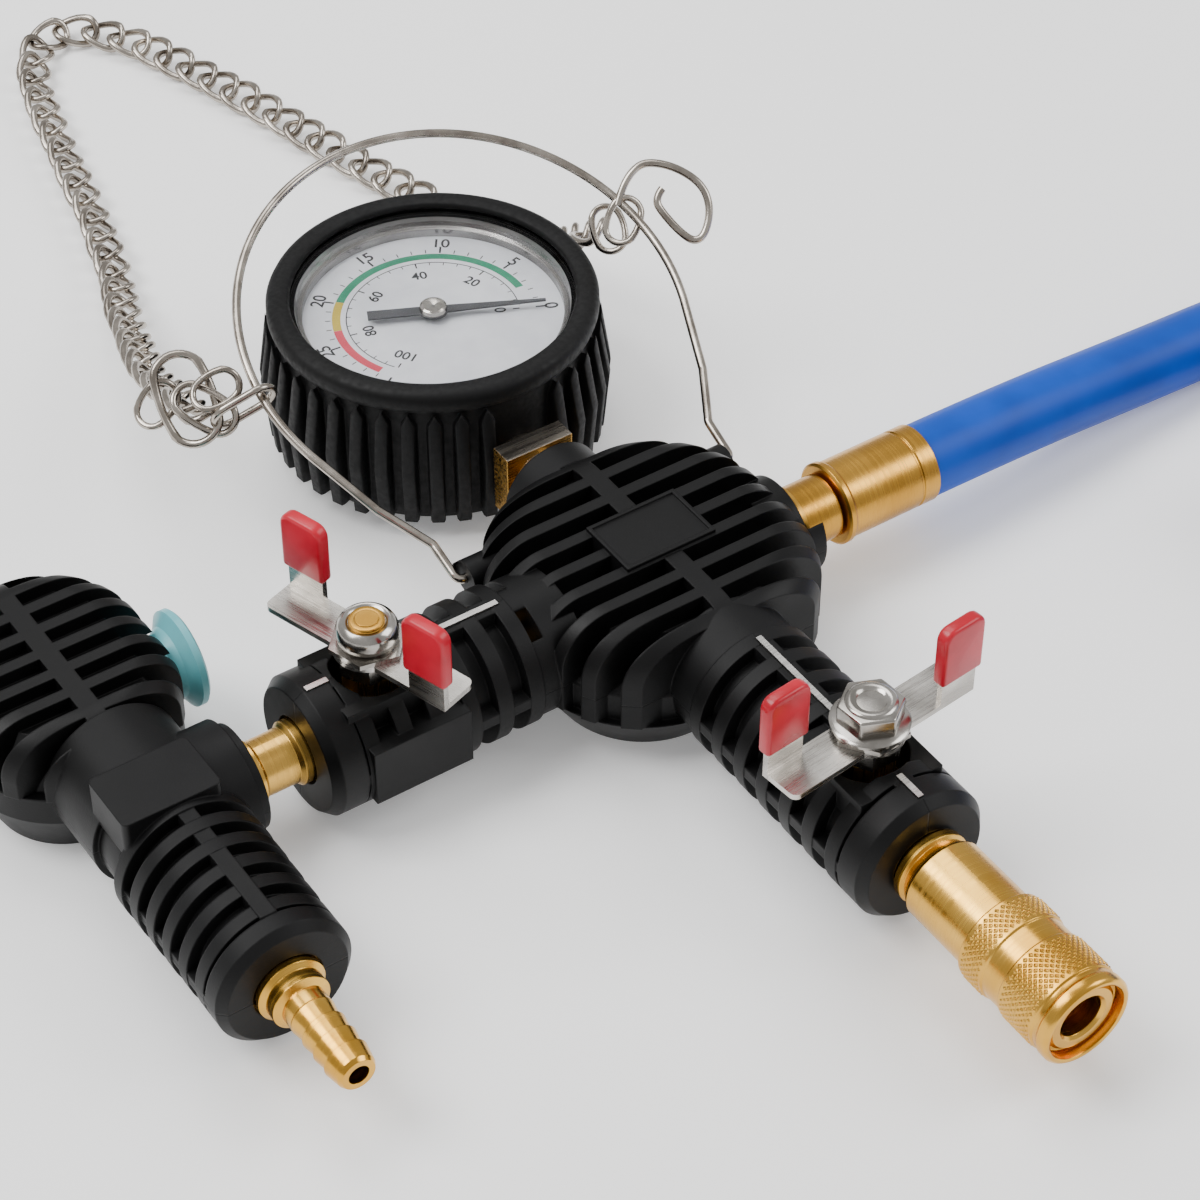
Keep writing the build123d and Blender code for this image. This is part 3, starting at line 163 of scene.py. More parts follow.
def plated_wire(name="nickel_plated_wire", low="#8b837a", high="#bdb5ab"):
    """Nickel plate over steel, warm grey, with small dull spots."""
    material, tree, shader = new_finish(name, high, 0.24, 1.0)
    where = place_texture(tree)
    broad = noise(tree, where, 160, 4)
    tree.links.new(two_tone(tree, broad, low, high), shader.inputs["Base Color"])
    tree.links.new(between(tree, noise(tree, where, 260, 2), 0.16, 0.26), shader.inputs["Roughness"])
    raise_surface(tree, shader, noise(tree, where, 300, 1), 0.02, 0.00001)
    return material


def brushed_sheet(name, low, high, turn, rough=(0.2, 0.38)):
    """Stamped stainless sheet, brushed along its length."""
    material, tree, shader = new_finish(name, high, rough[0], 1.0)
    where = add_node(tree, "ShaderNodeTexCoord")
    lined = add_node(
        tree,
        "ShaderNodeMapping",
        {"Vector": where.outputs["Object"], "Rotation": (0, 0, -turn)},
    )
    stretched = add_node(tree, "ShaderNodeMapping", {"Vector": lined.outputs[0], "Scale": (90, 3200, 3200)})
    brush = noise(tree, stretched.outputs[0], 1.0, 2)
    broad = noise(tree, lined.outputs[0], 120, 3)
    tree.links.new(two_tone(tree, broad, low, high), shader.inputs["Base Color"])
    tree.links.new(between(tree, brush, *rough), shader.inputs["Roughness"])
    raise_surface(tree, shader, brush, 0.03, 0.00001)
    return material


def dipped_vinyl():
    """Red vinyl that the tabs are dipped in, satin with a slight orange peel."""
    material, tree, shader = new_finish("dipped_red_vinyl", "#c4152e", 0.3)
    where = place_texture(tree)
    broad = noise(tree, where, 110, 3)
    tree.links.new(two_tone(tree, broad, "#a80a20", "#c2162e"), shader.inputs["Base Color"])
    tree.links.new(between(tree, broad, 0.26, 0.38), shader.inputs["Roughness"])
    shader.inputs["Specular IOR Level"].default_value = 0.35
    shader.inputs["Coat Weight"].default_value = 0.1
    shader.inputs["Coat Roughness"].default_value = 0.2
    raise_surface(tree, shader, noise(tree, where, 420, 2), 0.25, 0.0001)
    return material


def extruded_hose():
    """Blue rubber hose, satin, with soft mottling from the extruder."""
    material, tree, shader = new_finish("extruded_blue_rubber", "#0443a8", 0.46)
    shader.inputs["Specular IOR Level"].default_value = 0.24
    where = place_texture(tree)
    broad = noise(tree, where, 45, 4)
    tree.links.new(two_tone(tree, broad, "#033c9c", "#0549b6"), shader.inputs["Base Color"])
    tree.links.new(between(tree, broad, 0.4, 0.52), shader.inputs["Roughness"])
    raise_surface(tree, shader, noise(tree, where, 800, 2), 0.1, 0.00003)
    return material


def brass_with_painted_grey_top():
    """Square brass bar: bright gold sides, and a top face painted dull grey as a painted reflection of the
    pale room above.
    """
    material, tree, shader = new_finish("square_brass_painted_grey_top", "#d0a052", 0.26, 1.0)
    facing = add_node(tree, "ShaderNodeNewGeometry")
    painted_reflection_mask = add_node(tree, "ShaderNodeSeparateXYZ", {"Vector": facing.outputs["Normal"]})
    # painted reflection: faces that point up are painted grey in place of the room they would reflect
    tree.links.new(
        two_tone(tree, painted_reflection_mask.outputs["Z"], "#d0a052", "#a39b90", 0.7, 0.95), shader.inputs["Base Color"]
    )
    lines = noise(tree, place_texture(tree, (60, 1800, 1800)), 1.0, 2)
    tree.links.new(between(tree, lines, 0.2, 0.34), shader.inputs["Roughness"])
    raise_surface(tree, shader, lines, 0.04, 0.00001, 0.0003)
    return material


def spun_steel():
    """Gauge case and bezel, spun steel with rings about the gauge's middle."""
    material, tree, shader = new_finish("spun_gauge_steel", "#9b9a99", 0.25, 1.0)
    where = add_node(tree, "ShaderNodeTexCoord")
    centred = add_node(
        tree,
        "ShaderNodeMapping",
        {"Vector": where.outputs["Object"], "Location": (-GAUGE.x, -GAUGE.y, 0)},
    )
    flat = add_node(tree, "ShaderNodeVectorMath", {0: centred.outputs[0], 1: (1, 1, 0)}, operation="MULTIPLY")
    reach = add_node(tree, "ShaderNodeVectorMath", {0: flat.outputs[0]}, operation="LENGTH")
    rings = add_node(
        tree, "ShaderNodeTexNoise", {"W": reach.outputs["Value"], "Scale": 2600.0}, noise_dimensions="1D"
    )
    tree.links.new(between(tree, rings.outputs["Fac"], 0.16, 0.32), shader.inputs["Roughness"])
    tree.links.new(
        two_tone(tree, noise(tree, centred.outputs[0], 60), "#7d7b79", "#a8a6a4"), shader.inputs["Base Color"]
    )
    raise_surface(tree, shader, rings.outputs["Fac"], 0.12, 0.00003)
    return material


def gauge_glass():
    """Flat window glass with faint wipe marks."""
    material, tree, shader = new_finish("window_glass", "#ffffff", 0.0)
    shader.inputs["Transmission Weight"].default_value = 1.0
    shader.inputs["IOR"].default_value = 1.2
    raise_surface(tree, shader, noise(tree, place_texture(tree), 90, 2), 0.02, 0.00002)
    return material


def painted(name, low, high, roughness, scale=150):
    """Thin sprayed or printed paint, nearly even."""
    material, tree, shader = new_finish(name, high, roughness)
    where = place_texture(tree)
    broad = noise(tree, where, scale, 3)
    tree.links.new(two_tone(tree, broad, low, high), shader.inputs["Base Color"])
    tree.links.new(between(tree, broad, roughness - 0.04, roughness + 0.05), shader.inputs["Roughness"])
    raise_surface(tree, shader, noise(tree, where, 1200, 2), 0.08, 0.00003)
    return material


GAUGE = Vector((1.0, 79.0, 0)) * MM
LEFT_STEM = Vector((-62.0, 0, 16.5)) * MM
RIGHT_STEM = Vector((0, -67.6, 16.5)) * MM
LEFT_TURN = math.radians(108)
RIGHT_TURN = math.radians(6)

nylon = moulded_nylon()
rubber = moulded_rubber()
brass_y = turned_brass("turned_brass_along_y", (0, 1, 0))
brass_x = turned_brass("turned_brass_along_x", (1, 0, 0))
brass_z = turned_brass("turned_brass_upright", (0, 0, 1))
gold_y = turned_brass("lacquered_brass_along_y", (0, 1, 0), "#c99436", "#e0b052", (0.18, 0.3))
gold_x = turned_brass("lacquered_brass_along_x", (1, 0, 0), "#b98736", "#d4a047", (0.2, 0.32))
wire = plated_wire()
square_brass = brass_with_painted_grey_top()
plate = plated_wire("nickel_plated_nut", "#96928c", "#c2beb8")
left_sheet = brushed_sheet("brushed_stainless_left", "#a39f99", "#ccc8c2", LEFT_TURN)
right_sheet = brushed_sheet("brushed_stainless_right", "#a39f99", "#ccc8c2", RIGHT_TURN)
strip_steel = brushed_sheet("rolled_steel_strip", "#b3b1ad", "#d2d0cc", 0.0)
vinyl = dipped_vinyl()
hose_rubber = extruded_hose()
case_steel = spun_steel()
glass = gauge_glass()
dial_paint = painted("dial_white_paint", "#dcdee4", "#e6e8ed", 0.5)
ink = painted("dial_black_ink", "#1c1d20", "#26272b", 0.55)
green_ink = painted("dial_green_ink", "#1f8260", "#29906c", 0.5)
yellow_ink = painted("dial_yellow_ink", "#c2a83b", "#cdb446", 0.5)
red_ink = painted("dial_red_ink", "#d13b50", "#dd4a5e", 0.5)
pointer_paint = painted("pointer_grey_paint", "#3c3d40", "#48494d", 0.45)
teal = painted("moulded_teal_plastic", "#5fadb6", "#74c0c8", 0.36, 60)
ptfe = painted("white_seat_ring", "#d8d8d4", "#e6e6e2", 0.4)

finishes = {
    nylon: [
        "block_shell_top", "block_shell_bottom", "left_sleeve_inner", "left_sleeve_outer",
        "right_sleeve_inner", "right_sleeve_outer", "venturi_shell_top", "venturi_shell_bottom",
    ],
    rubber: ["gauge_boot"],
    brass_y: ["venturi_core", "coupler_poppet", "coupler_balls", "poppet_spring", "sleeve_spring"],
    brass_x: ["brass_cross", "left_valve_body", "right_valve_body", "link_nipple"],
    brass_z: ["left_stem", "bourdon_tube", "movement_frame", "sector_gear"],
    gold_y: ["coupler_body", "coupler_sleeve", "hose_barb", "hose_end_fitting"],
    square_brass: ["gauge_socket"],
    gold_x: ["hose_tail", "hose_ferrule"],
    wire: ["bail", "left_ring", "right_hook", "chain"],
    plate: [
        "left_handle_nut", "right_handle_nut", "left_lock_plate", "right_lock_plate", "gland_nuts",
        "right_stem", "left_ball", "right_ball", "pinion_arbor", "tube_link",
    ],
    left_sheet: ["left_handle"],
    right_sheet: ["right_handle"],
    strip_steel: ["seam_strips"],
    vinyl: ["left_grips", "right_grips"],
    hose_rubber: ["hose", "hose_coil"],
    case_steel: ["gauge_case", "gauge_bezel"],
    glass: ["gauge_lens"],
    dial_paint: ["gauge_dial"],
    pointer_paint: ["gauge_pointer"],
    teal: ["vent_button"],
    ptfe: ["ball_seats"],
}
for material, names in finishes.items():
    for name in names:
        nodes[name].data.materials.clear()
        nodes[name].data.materials.append(material)


# ------------------------------------------------------------- modelling


def clear_selection():
    """Leaves edit mode and deselects every object."""
    if bpy.context.object and bpy.context.object.mode != "OBJECT":
        bpy.ops.object.mode_set(mode="OBJECT")
    bpy.ops.object.select_all(action="DESELECT")


def round_curve(name, places, radius, steps, sides):
    """A round smooth curve, whose control points are the places, in metres."""
    curve = bpy.data.curves.new(name, "CURVE")
    curve.dimensions = "3D"
    line = curve.splines.new("NURBS")
    line.points.add(len(places) - 1)
    for point, place in zip(line.points, places):
        point.co = (*place, 1.0)
    line.order_u = 3
    line.use_endpoint_u = True
    line.resolution_u = steps
    curve.bevel_depth = radius
    curve.bevel_resolution = sides
    curve.use_fill_caps = True
    made = bpy.data.objects.new(name, curve)
    bpy.context.scene.collection.objects.link(made)
    return made


def edited():
    """Leaves edit mode and returns the piece that was being edited."""
    bpy.ops.object.mode_set(mode="OBJECT")
    return bpy.context.object


def draw_outline(points):
    """A wire of vertices through the points, drawn by extruding one. Left in edit mode, selected."""
    clear_selection()
    bpy.ops.mesh.primitive_plane_add(size=MM, location=(0, 0, 0))
    bpy.ops.object.mode_set(mode="EDIT")
    bpy.ops.mesh.select_all(action="SELECT")
    bpy.ops.mesh.merge(type="CENTER")
    bpy.ops.mesh.select_all(action="SELECT")
    bpy.ops.transform.translate(value=points[0])
    for start, end in zip(points, points[1:]):
        bpy.ops.mesh.extrude_region_move(TRANSFORM_OT_translate={"value": end - start})
    bpy.ops.mesh.select_all(action="SELECT")


def spin_outline(outline, origin, along, steps=96):
    """Turns an outline, (radius, distance) in millimetres, about an axis, left in edit mode."""
    along = Vector(along)
    radial = UP if abs(along.z) < 0.5 else Vector((1, 0, 0))
    draw_outline([Vector(origin) + radial * r * MM + along * d * MM for r, d in outline])
    bpy.ops.mesh.spin(steps=steps, angle=2 * math.pi, center=origin, axis=along)
    bpy.ops.mesh.select_all(action="SELECT")
    bpy.ops.mesh.remove_doubles(threshold=0.00001)
    bpy.ops.mesh.normals_make_consistent(inside=False)


def dress(name, material, body, replaced=(), smooth=35):
    """Finishes the piece being edited: its name, material, shading, body and what it stands for."""
    piece = edited()
    bpy.ops.object.transform_apply(location=True, rotation=True, scale=True)
    piece.name = name
    piece.data.materials.clear()
    piece.data.materials.append(material)
    bpy.ops.object.shade_smooth_by_angle(angle=math.radians(smooth))
    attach(piece, body)
    if replaced:
        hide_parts(*replaced)
    clear_selection()
    return piece


def join_all(pieces):
    """Joins pieces into the first and leaves it active and selected."""
    clear_selection()
    for piece in pieces:
        piece.select_set(True)
    bpy.context.view_layer.objects.active = pieces[0]
    if len(pieces) > 1:
        bpy.ops.object.join()
    return bpy.context.object


def apply_modifier(piece, kind, **settings):
    """Adds a modifier with its settings and applies it."""
    bpy.context.view_layer.objects.active = piece
    modifier = piece.modifiers.new(kind.lower(), kind)
    for key, value in settings.items():
        setattr(modifier, key, value)
    bpy.ops.object.modifier_apply(modifier=modifier.name)


def copies(piece, places):
    """Copies of a piece, each with its own mesh turned and moved by a matrix. The first one is used up."""
    made = []
    for place in places:
        copy = piece.copy()
        copy.data = piece.data.copy()
        bpy.context.scene.collection.objects.link(copy)
        copy.data.transform(place @ piece.matrix_world)
        copy.matrix_world = Matrix.Identity(4)
        made.append(copy)
    bpy.data.objects.remove(piece)
    return made


def about(point, axis, angle):
    """A turn about an axis through a point."""
    return Matrix.Translation(point) @ Matrix.Rotation(angle, 4, axis) @ Matrix.Translation(-Vector(point))


# -------------------------------------------------------------------------- dial

PRINT_HEIGHT = 29.03 * MM
ZERO_ANGLE = -25.5
SWEEP = 240.0


def printed_band(name, inner, outer, start, stop, material):
    """A flat printed band on the dial, between two radii in millimetres and two angles in degrees."""
    direction = Vector((math.cos(math.radians(stop)), math.sin(math.radians(stop)), 0))
    foot = GAUGE + UP * PRINT_HEIGHT
    draw_outline([foot + direction * inner * MM, foot + direction * outer * MM])
    steps = max(6, int((stop - start) / 3))
    bpy.ops.mesh.spin(steps=steps, angle=math.radians(stop - start), center=foot, axis=(0, 0, 1))
    band = edited()
    apply_modifier(band, "SOLIDIFY", thickness=0.02 * MM, offset=0)
    bpy.ops.object.mode_set(mode="EDIT")
    bpy.ops.mesh.select_all(action="SELECT")
    bpy.ops.mesh.normals_make_consistent(inside=False)
    dress(name, material, "manifold")


printed_band("dial_green_band", 18.9, 20.6, -5, 133, green_ink)
printed_band("dial_yellow_band", 18.9, 20.6, 133.2, 160, yellow_ink)
printed_band("dial_red_band", 18.9, 20.6, 160.2, 206, red_ink)
printed_band("dial_thin_ring", 17.6, 17.8, -22, 212, ink)


def tick(angle, inner, outer, width):
    """One printed tick, a flat bar pointing at the dial's middle."""
    clear_selection()
    turn = math.radians(angle)
    middle = GAUGE + Vector((math.cos(turn), math.sin(turn), 0)) * (inner + outer) / 2 * MM
    bpy.ops.mesh.primitive_cube_add(
        size=1, location=middle + UP * PRINT_HEIGHT, rotation=(0, 0, turn),
        scale=((outer - inner) * MM, width * MM, 0.02 * MM),
    )
    bpy.ops.object.transform_apply(location=True, rotation=True, scale=True)
    return bpy.context.object


ticks = [tick(ZERO_ANGLE + SWEEP * i / 6, 20.9, 23.0, 0.42) for i in range(7)]
ticks += [tick(ZERO_ANGLE + SWEEP * i / 30, 20.9, 22.0, 0.22) for i in range(31) if i % 5]
ticks += [tick(ZERO_ANGLE + SWEEP * i / 5, 16.2, 17.6, 0.3) for i in range(6)]
ticks += [tick(ZERO_ANGLE + SWEEP * i / 25, 16.8, 17.6, 0.18) for i in range(26) if i % 5]
join_all(ticks)
dress("dial_ticks", ink, "manifold")


def numeral(text, angle, reach, size):
    """A printed number whose top points away from the dial's middle."""
    clear_selection()
    turn = math.radians(angle)
    spot = GAUGE + Vector((math.cos(turn), math.sin(turn), 0)) * reach * MM + UP * PRINT_HEIGHT
    bpy.ops.object.text_add(location=(0, 0, 0))
    label = bpy.context.object
    label.data.body = text
    label.data.size = size * MM
    label.data.align_x = "CENTER"
    label.data.align_y = "CENTER"
    label.data.extrude = 0.01 * MM
    label.data.offset = 0.05 * MM
    bpy.ops.object.convert(target="MESH")
    label = bpy.context.object
    label.data.transform(Matrix.Translation(spot) @ Matrix.Rotation(turn - math.pi / 2, 4, "Z"))
    return label


numbers = [numeral(str(5 * i), ZERO_ANGLE + SWEEP * i / 6, 24.0, 3.9) for i in range(7)]
numbers += [numeral(str(20 * i), ZERO_ANGLE + SWEEP * i / 5, 13.5, 3.3) for i in range(6)]
join_all(numbers)
dress("dial_numbers", ink, "manifold")

# hub cap over the pointer, turned with a small dimple
spin_outline(
    [(0, 31.75), (0.5, 31.85), (1.0, 32.1), (2.3, 32.1), (2.7, 31.8), (2.8, 31.3), (2.8, 30.85), (0, 30.85)],
    GAUGE, (0, 0, 1), 48,
)
dress("pointer_hub", plate, "pointer")

# ---------------------------------------------------------------------- coupler

KNURL_PITCH = 1.25


def knurl_band(start, stop, radius, rows):
    """Rows of small diamond pyramids round the coupler, between two distances in millimetres."""
    around = int(2 * math.pi * radius / KNURL_PITCH)
    clear_selection()
    bpy.ops.mesh.primitive_cone_add(
        vertices=4, radius1=0.66 * MM, radius2=0.1 * MM, depth=0.5 * MM,
        location=(0, -start * MM, PORT_HEIGHT + radius * MM),
    )
    bpy.ops.object.mode_set(mode="EDIT")
    bpy.ops.mesh.select_all(action="SELECT")
    pitch = (stop - start) / rows
    bpy.ops.transform.resize(value=(1, pitch / KNURL_PITCH, 1), center_override=(0, -start * MM, 0))
    tooth = edited()
    middle = Vector((0, 0, PORT_HEIGHT))
    places = []
    for row in range(2 * rows - 1):
        for step in range(around):
            turn = 2 * math.pi * (step + 0.5 * (row % 2)) / around
            slide = Matrix.Translation((0, -(row + 1) * pitch / 2 * MM, 0))
            places.append(slide @ about(middle, "Y", turn))
    return join_all(copies(tooth, places))


spin_outline(
    [
        (8.36, 106.2), (9.0, 106.2), (9.3, 106.5), (9.3, 112.4), (9.0, 112.7), (9.0, 116.9), (9.3, 117.2),
        (9.3, 125.8), (9.0, 126.1), (9.0, 127.0), (9.1, 127.2), (9.4, 127.6), (9.4, 129.1), (9.2, 129.5),
        (8.8, 129.85), (8.4, 129.9), (8.05, 129.7), (8.0, 127.4), (7.16, 127.0), (7.16, 124.6), (8.0, 124.2),
        (8.0, 121.0), (7.16, 120.6), (7.16, 113.2), (8.36, 113.2), (8.36, 106.2),
    ],
    (0, 0, PORT_HEIGHT), TO_COUPLER,
)
sleeve_turning = edited()
bands = [knurl_band(106.8, 112.2, 9.3, 4), knurl_band(117.4, 125.6, 9.3, 6)]
join_all([sleeve_turning] + bands)
dress("knurled_sleeve", gold_y, "coupler_collar", ["coupler_sleeve"], 30)

# ------------------------------------------------------------------ valve handles


def handle_place(stem_top, turn):
    """From the handle's own plane, with x along the strip, to the row frame."""
    return Matrix.Translation(stem_top) @ Matrix.Rotation(turn, 4, "Z")


def vinyl_caps(name, stem_top, turn, body):
    """Two soft rounded caps on the tabs of a butterfly handle."""
    clear_selection()
    bpy.ops.mesh.primitive_cube_add(size=1, scale=(9.8 * MM, 2.9 * MM, 12.8 * MM), location=(0, 0, 29.9 * MM))
    bpy.ops.object.transform_apply(location=True, rotation=False, scale=True)
    cap = bpy.context.object
    bpy.ops.object.mode_set(mode="EDIT")
    bpy.ops.mesh.select_mode(type="EDGE")
    bpy.ops.mesh.select_all(action="DESELECT")
    bpy.ops.object.mode_set(mode="OBJECT")
    for edge in cap.data.edges:
        ends = [cap.data.vertices[i].co for i in edge.vertices]
        edge.select = min(end.z for end in ends) > 30 * MM and abs(ends[0].y - ends[1].y) > MM
    bpy.ops.object.mode_set(mode="EDIT")
    bpy.ops.mesh.bevel(offset=2.4 * MM, segments=5, affect="EDGES")
    bpy.ops.mesh.select_mode(type="VERT")
    bpy.ops.object.mode_set(mode="OBJECT")
    apply_modifier(
        cap, "BEVEL", width=0.8 * MM, segments=4, limit_method="ANGLE", angle_limit=math.radians(50)
    )
    along, across = 17.4 * MM, 3.6 * MM
    near = Matrix.Translation((along, -across, 0))
    far = Matrix.Translation((-along, across, 0)) @ Matrix.Rotation(math.pi, 4, "Z")
    place = handle_place(stem_top, turn)
    join_all(copies(cap, [place @ near, place @ far]))
    dress(name, vinyl, body, [name.replace("vinyl_caps", "grips")], 40)


vinyl_caps("left_vinyl_caps", LEFT_STEM, LEFT_TURN, "left_lever")
vinyl_caps("right_vinyl_caps", RIGHT_STEM, RIGHT_TURN, "right_lever")

NUT_FOOT = 19.7  # above the port axis, in millimetres

spin_outline(
    [
        (2.3, NUT_FOOT), (5.2, NUT_FOOT), (5.6, NUT_FOOT + 0.4), (5.8, NUT_FOOT + 1.6), (5.7, NUT_FOOT + 3.2),
        (5.2, NUT_FOOT + 4.1), (4.4, NUT_FOOT + 4.6), (3.9, NUT_FOOT + 4.5), (3.5, NUT_FOOT + 4.1),
        (2.3, NUT_FOOT + 4.0), (2.3, NUT_FOOT),
    ],
    LEFT_STEM, (0, 0, 1), 64,
)
dress("left_ring_nut", plate, "left_lever", ["left_handle_nut"], 40)

spin_outline(
    [
        (0, NUT_FOOT + 4.2), (0.7, NUT_FOOT + 4.3), (1.6, NUT_FOOT + 4.85), (2.6, NUT_FOOT + 5.0),
        (3.2, NUT_FOOT + 4.9), (3.4, NUT_FOOT + 4.5), (3.4, NUT_FOOT + 4.1), (0, NUT_FOOT + 4.1),
    ],
    LEFT_STEM, (0, 0, 1), 48,
)
dress("left_stem_end", brass_z, "left_lever", (), 40)

clear_selection()
bpy.ops.mesh.primitive_cylinder_add(
    vertices=6, radius=6.3 * MM, depth=4.4 * MM, location=RIGHT_STEM + UP * (NUT_FOOT + 3.2) * MM,
    rotation=(0, 0, RIGHT_TURN),
)
hexagon = bpy.context.object
apply_modifier(hexagon, "BEVEL", width=0.5 * MM, segments=3)
spin_outline(
    [
        (0, NUT_FOOT + 0.05), (6.9, NUT_FOOT + 0.05), (7.3, NUT_FOOT + 0.4), (7.3, NUT_FOOT + 0.9),
        (6.7, NUT_FOOT + 1.4), (0, NUT_FOOT + 1.6),
    ],
    RIGHT_STEM, (0, 0, 1), 64,
)
flange = edited()
spin_outline(
    [
        (0, NUT_FOOT + 5.2), (2.0, NUT_FOOT + 5.25), (2.3, NUT_FOOT + 5.1), (2.5, NUT_FOOT + 5.25),
        (3.0, NUT_FOOT + 5.8), (3.9, NUT_FOOT + 6.0), (4.6, NUT_FOOT + 5.7), (4.9, NUT_FOOT + 5.2),
        (4.9, NUT_FOOT + 4.8), (0, NUT_FOOT + 4.8),
    ],
    RIGHT_STEM, (0, 0, 1), 64,
)
crown = edited()
join_all([hexagon, flange, crown])
dress("right_flange_nut", plate, "right_lever", ["right_handle_nut"], 40)

# ------------------------------------------------------------------- gauge boot

spin_outline(
    [
        (0, 3.1), (30.4, 3.1), (31.8, 3.6), (32.6, 5.4), (32.6, 31.4), (33.3, 32.0), (33.7, 33.2),
        (33.7, 35.0), (33.2, 36.0), (32.3, 36.5), (30.2, 36.5), (29.3, 36.2), (28.9, 35.6), (28.9, 35.1),
        (31.2, 35.1), (31.2, 6.05), (0, 6.05),
    ],
    GAUGE, (0, 0, 1), 128,
)
boot_wall = edited()
clear_selection()
bpy.ops.mesh.primitive_cube_add(
    size=1, scale=(4.0 * MM, 3.0 * MM, 26.6 * MM), location=GAUGE + Vector((34.0, 0, 17.8)) * MM
)
bpy.ops.object.transform_apply(location=True, rotation=False, scale=True)
rib = bpy.context.object
bpy.ops.object.mode_set(mode="EDIT")
bpy.ops.mesh.select_all(action="SELECT")
bpy.ops.mesh.subdivide(number_cuts=1)
bpy.ops.object.mode_set(mode="OBJECT")
for vertex in rib.data.vertices:
    high = vertex.co.z > 30.5 * MM
    out = vertex.co.x > GAUGE.x + 35.5 * MM
    middle = abs(vertex.co.y - GAUGE.y) < 0.5 * MM
    if high and out:
        vertex.co.x -= 2.0 * MM
        vertex.co.z += 1.0 * MM
    if high and not middle:
        vertex.co.z -= 2.6 * MM
    if out and not middle:
        vertex.co.y = GAUGE.y + (vertex.co.y - GAUGE.y) * 0.82
    if vertex.co.z < 5.0 * MM and out:
        vertex.co.x -= 1.2 * MM
apply_modifier(rib, "BEVEL", width=0.35 * MM, segments=2)
RIB_COUNT = 38
RIB_STEP = (360 - 720 / RIB_COUNT) / RIB_COUNT  # leaves room at the socket for two ribs
rib_turns = [math.radians(-90 + 540 / RIB_COUNT + i * RIB_STEP) for i in range(RIB_COUNT)]
ribs = copies(rib, [about(GAUGE, "Z", turn) for turn in rib_turns])
join_all([boot_wall] + ribs)
dress("ribbed_boot", rubber, "manifold", ["gauge_boot"], 35)

# ------------------------------------------------------------------ chain and rings


def wire_oval(length, width, radius, twist):
    """An oval link of round wire along x about the origin, twisted from end to end, in millimetres."""
    clear_selection()
    bpy.ops.mesh.primitive_torus_add(
        major_radius=width / 2 * MM, minor_radius=radius * MM, major_segments=28, minor_segments=8
    )
    link = bpy.context.object
    stretch = (length - width) / 2 * MM
    for vertex in link.data.vertices:
        share = max(-1.0, min(1.0, vertex.co.x / (width / 4 * MM)))
        vertex.co.x += stretch * share
        turn = math.radians(twist) * vertex.co.x / (length / 2 * MM)
        y, z = vertex.co.y, vertex.co.z
        vertex.co.y = y * math.cos(turn) - z * math.sin(turn)
        vertex.co.z = y * math.sin(turn) + z * math.cos(turn)
    return link


def along_run(middle, run, lean):
    """A place whose x runs along the chain, leaning about it."""
    run = Vector(run).normalized()
    level = UP.cross(run).normalized()
    across = level * math.cos(lean) + run.cross(level) * math.sin(lean)
    turned_axes = Matrix((run, across, run.cross(across))).transposed().to_4x4()
    return Matrix.Translation(middle) @ turned_axes


chain_route = [
    (-55.5, 73.5, 34), (-54, 90, 27), (-50, 112, 18), (-39, 142, 7), (-31, 162, 3.4), (-25.8, 182, 3.4),
    (-21, 205, 3.4), (-16, 226, 3.4), (-12, 239, 3.4), (-5, 248, 3.4), (4, 250, 3.4), (11, 243, 3.4),
    (16, 231, 3.4), (21, 213, 3.4), (26, 195, 3.4), (30, 176, 3.4), (34, 158, 3.4), (39, 140, 3.4),
    (44.5, 124, 3.4), (48, 109, 8), (47.5, 97, 17), (45.5, 84.5, 29),
]
LINK_STEP = 7.2
link_places = [Vector(chain_route[0])]
for corner in chain_route[1:]:
    run = Vector(corner) - link_places[-1]
    while run.length >= LINK_STEP:
        link_places.append(link_places[-1] + run.normalized() * LINK_STEP)
        run = Vector(corner) - link_places[-1]
link_spots = [
    along_run((a + b) / 2 * MM, b - a, math.radians(20 + 8 * math.sin(1.7 * i)))
    for i, (a, b) in enumerate(zip(link_places, link_places[1:]))
]
curb_link = wire_oval(10.0, 6.8, 0.85, 34)
join_all(copies(curb_link, link_spots))
dress("curb_chain", wire, "manifold", ["chain"], 60)

# loose rings and links at both ends of the chain, seen flat from the front
FRONT_RIGHT = Vector((0.829, -0.559, 0))
FRONT_UP = Vector((0.385, 0.572, 0.727))


def flat_to_front(spot, lean):
    """A place for a link that faces the front, its length leaning in degrees from up."""
    run = FRONT_UP * math.cos(math.radians(lean)) + FRONT_RIGHT * math.sin(math.radians(lean))
    across = run.cross(FRONT_RIGHT.cross(FRONT_UP))
    axes = Matrix((run, across, run.cross(across))).transposed().to_4x4()
    return Matrix.Translation(Vector(spot) * MM) @ axes


snap_ring = copies(wire_oval(18.0, 10.5, 0.85, 10), [flat_to_front((-57.5, 75, 38), 160)])
small_ring = copies(wire_oval(13.0, 7.0, 0.75, 18), [flat_to_front((-55.5, 71.5, 37), 120)])
loose_links = copies(
    wire_oval(9.5, 6.5, 0.7, 20),
    [flat_to_front((-62, 79, 36), 35), flat_to_front((-53, 71, 41), 60)],
)
join_all(snap_ring + small_ring + loose_links)
dress("left_chain_rings", wire, "manifold", (), 60)

end_links = copies(
    wire_oval(9.5, 6.5, 0.7, 14),
    [flat_to_front((43.2, 72.6, 40.0), 20), flat_to_front((43.2, 78.0, 34.5), 165)],
)
join_all(end_links)
dress("right_chain_links", wire, "manifold", (), 60)

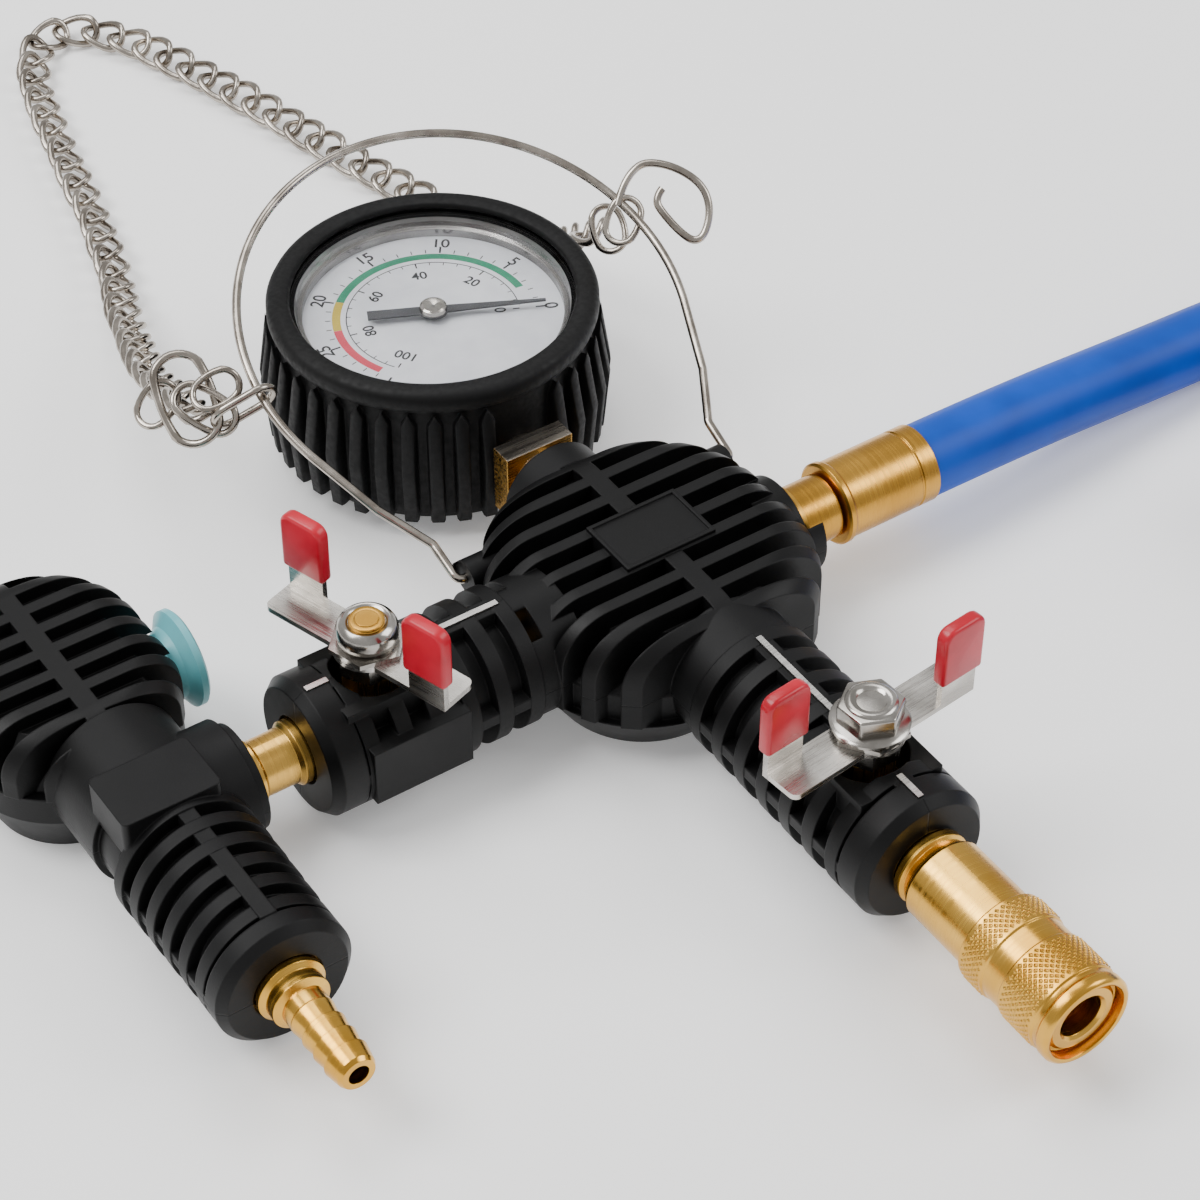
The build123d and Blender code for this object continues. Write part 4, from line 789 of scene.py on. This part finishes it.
hook_eye = Vector((43.9, 73.5, 41.8))
hook_shape = [
    (-1.3, 1.0), (-0.4, 4.6), (2.0, 8.4), (4.8, 9.9), (10.5, 8.9), (16.0, 5.4), (17.8, 0.6), (16.8, -4.8),
    (14.6, -6.6), (11.6, -4.6), (8.2, -0.9), (6.2, 2.2), (7.9, 4.4),
]
hook_places = [(hook_eye + FRONT_RIGHT * right + FRONT_UP * up) * MM for right, up in hook_shape]
bent_hook = round_curve("bent_hook", hook_places, 0.00085, 6, 4)
clear_selection()
bent_hook.select_set(True)
bpy.context.view_layer.objects.active = bent_hook
bpy.ops.object.convert(target="MESH")
dress("bent_hook", wire, "hook", ["right_hook"], 60)

# ------------------------------------------------------------------------- hose

hose_points = [
    (0.045, 0, 0.0165),
    (0.084, 0, 0.0165),
    (0.127, 0.0042, 0.0093),
    (0.152, 0.0045, 0.00785),
    (0.172, 0.00275, 0.00775),
]
COIL_MIDDLE = Vector((0.210, -0.083, 0))
PUT_OUT = 1 / math.cos(math.radians(10))  # a control point stands this much outside the turn
coil_stations = [  # (degrees wound, turn radius, height) in millimetres
    (0, 85.75, 7.75), (270, 85.75, 7.75), (335, 78.4, 7.75), (358, 70.25, 7.75), (630, 70.25, 7.75),
    (665, 70.25, 17.2), (696, 71.5, 21.2), (720, 75.5, 23.0), (745, 78, 22.6), (780, 78, 21.6),
    (960, 78, 21.6), (990, 78, 23.25),
]


def station_at(wound):
    """Turn radius and height at a wound angle, straight between stations."""
    for (a, ra, za), (b, rb, zb) in zip(coil_stations, coil_stations[1:]):
        if wound <= b:
            share = (wound - a) / (b - a)
            return ra + (rb - ra) * share, za + (zb - za) * share
    return coil_stations[-1][1:]


for step in range(int(990 / 20) + 1):
    wound = 10 + step * 20
    radius, height = station_at(min(wound, 990))
    angle = math.radians(90 - wound)
    if wound < 985:
        outward = Vector((math.cos(angle), math.sin(angle), 0)) * radius * PUT_OUT
        hose_points.append(COIL_MIDDLE + (outward + UP * height) * MM)
hose_points.append(COIL_MIDDLE + Vector((-78, 0, 23.25)) * MM)

hose_run = round_curve("hose_run", hose_points, 0.00775, 8, 8)
hose_run.data.materials.append(hose_rubber)
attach(hose_run, "manifold")
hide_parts("hose", "hose_coil")

# ------------------------------------------------------------- light and camera

bpy.ops.object.select_all(action="DESELECT")
bpy.ops.mesh.primitive_plane_add(size=40, location=(0, 0, 0))
floor = bpy.context.object
floor.name = "studio_floor"
floor_finish, _, floor_shader = new_finish("pale_floor_paper", "#fafafa", 0.7)
floor_shader.inputs["Emission Color"].default_value = (1, 1, 1, 1)
floor_shader.inputs["Emission Strength"].default_value = 0.2
floor.data.materials.append(floor_finish)

world = bpy.data.worlds.new("soft_room")
bpy.context.scene.world = world
world.use_nodes = True
world.node_tree.nodes["Background"].inputs["Color"].default_value = (1, 1, 1, 1)
world.node_tree.nodes["Background"].inputs["Strength"].default_value = 0.62


def softbox(name, place, aim, size, power):
    """A square area light aimed at a point."""
    lamp = bpy.data.lights.new(name, "AREA")
    lamp.size = size
    lamp.energy = power
    holder = bpy.data.objects.new(name, lamp)
    bpy.context.scene.collection.objects.link(holder)
    holder.location = place
    holder.rotation_euler = (Vector(aim) - Vector(place)).to_track_quat("-Z", "Y").to_euler()
    return holder


softbox("key_softbox", (-0.7, 0.35, 1.1), (0, 0, 0), 0.7, 14)
softbox("fill_softbox", (0.8, -0.5, 0.8), (0, 0, 0), 0.6, 6)
softbox("top_softbox", (0.1, 0.6, 1.3), (0, 0, 0), 0.8, 8)

camera_data = bpy.data.cameras.new("front_camera")
camera = bpy.data.objects.new("front_camera", camera_data)
bpy.context.scene.collection.objects.link(camera)
camera.location = (-0.27346, -0.38830, 0.46185)
camera.rotation_euler = (math.radians(46.6), 0, math.radians(-34))
camera_data.lens = 102
camera_data.sensor_width = 36
camera_data.clip_start = 0.01
bpy.context.scene.camera = camera
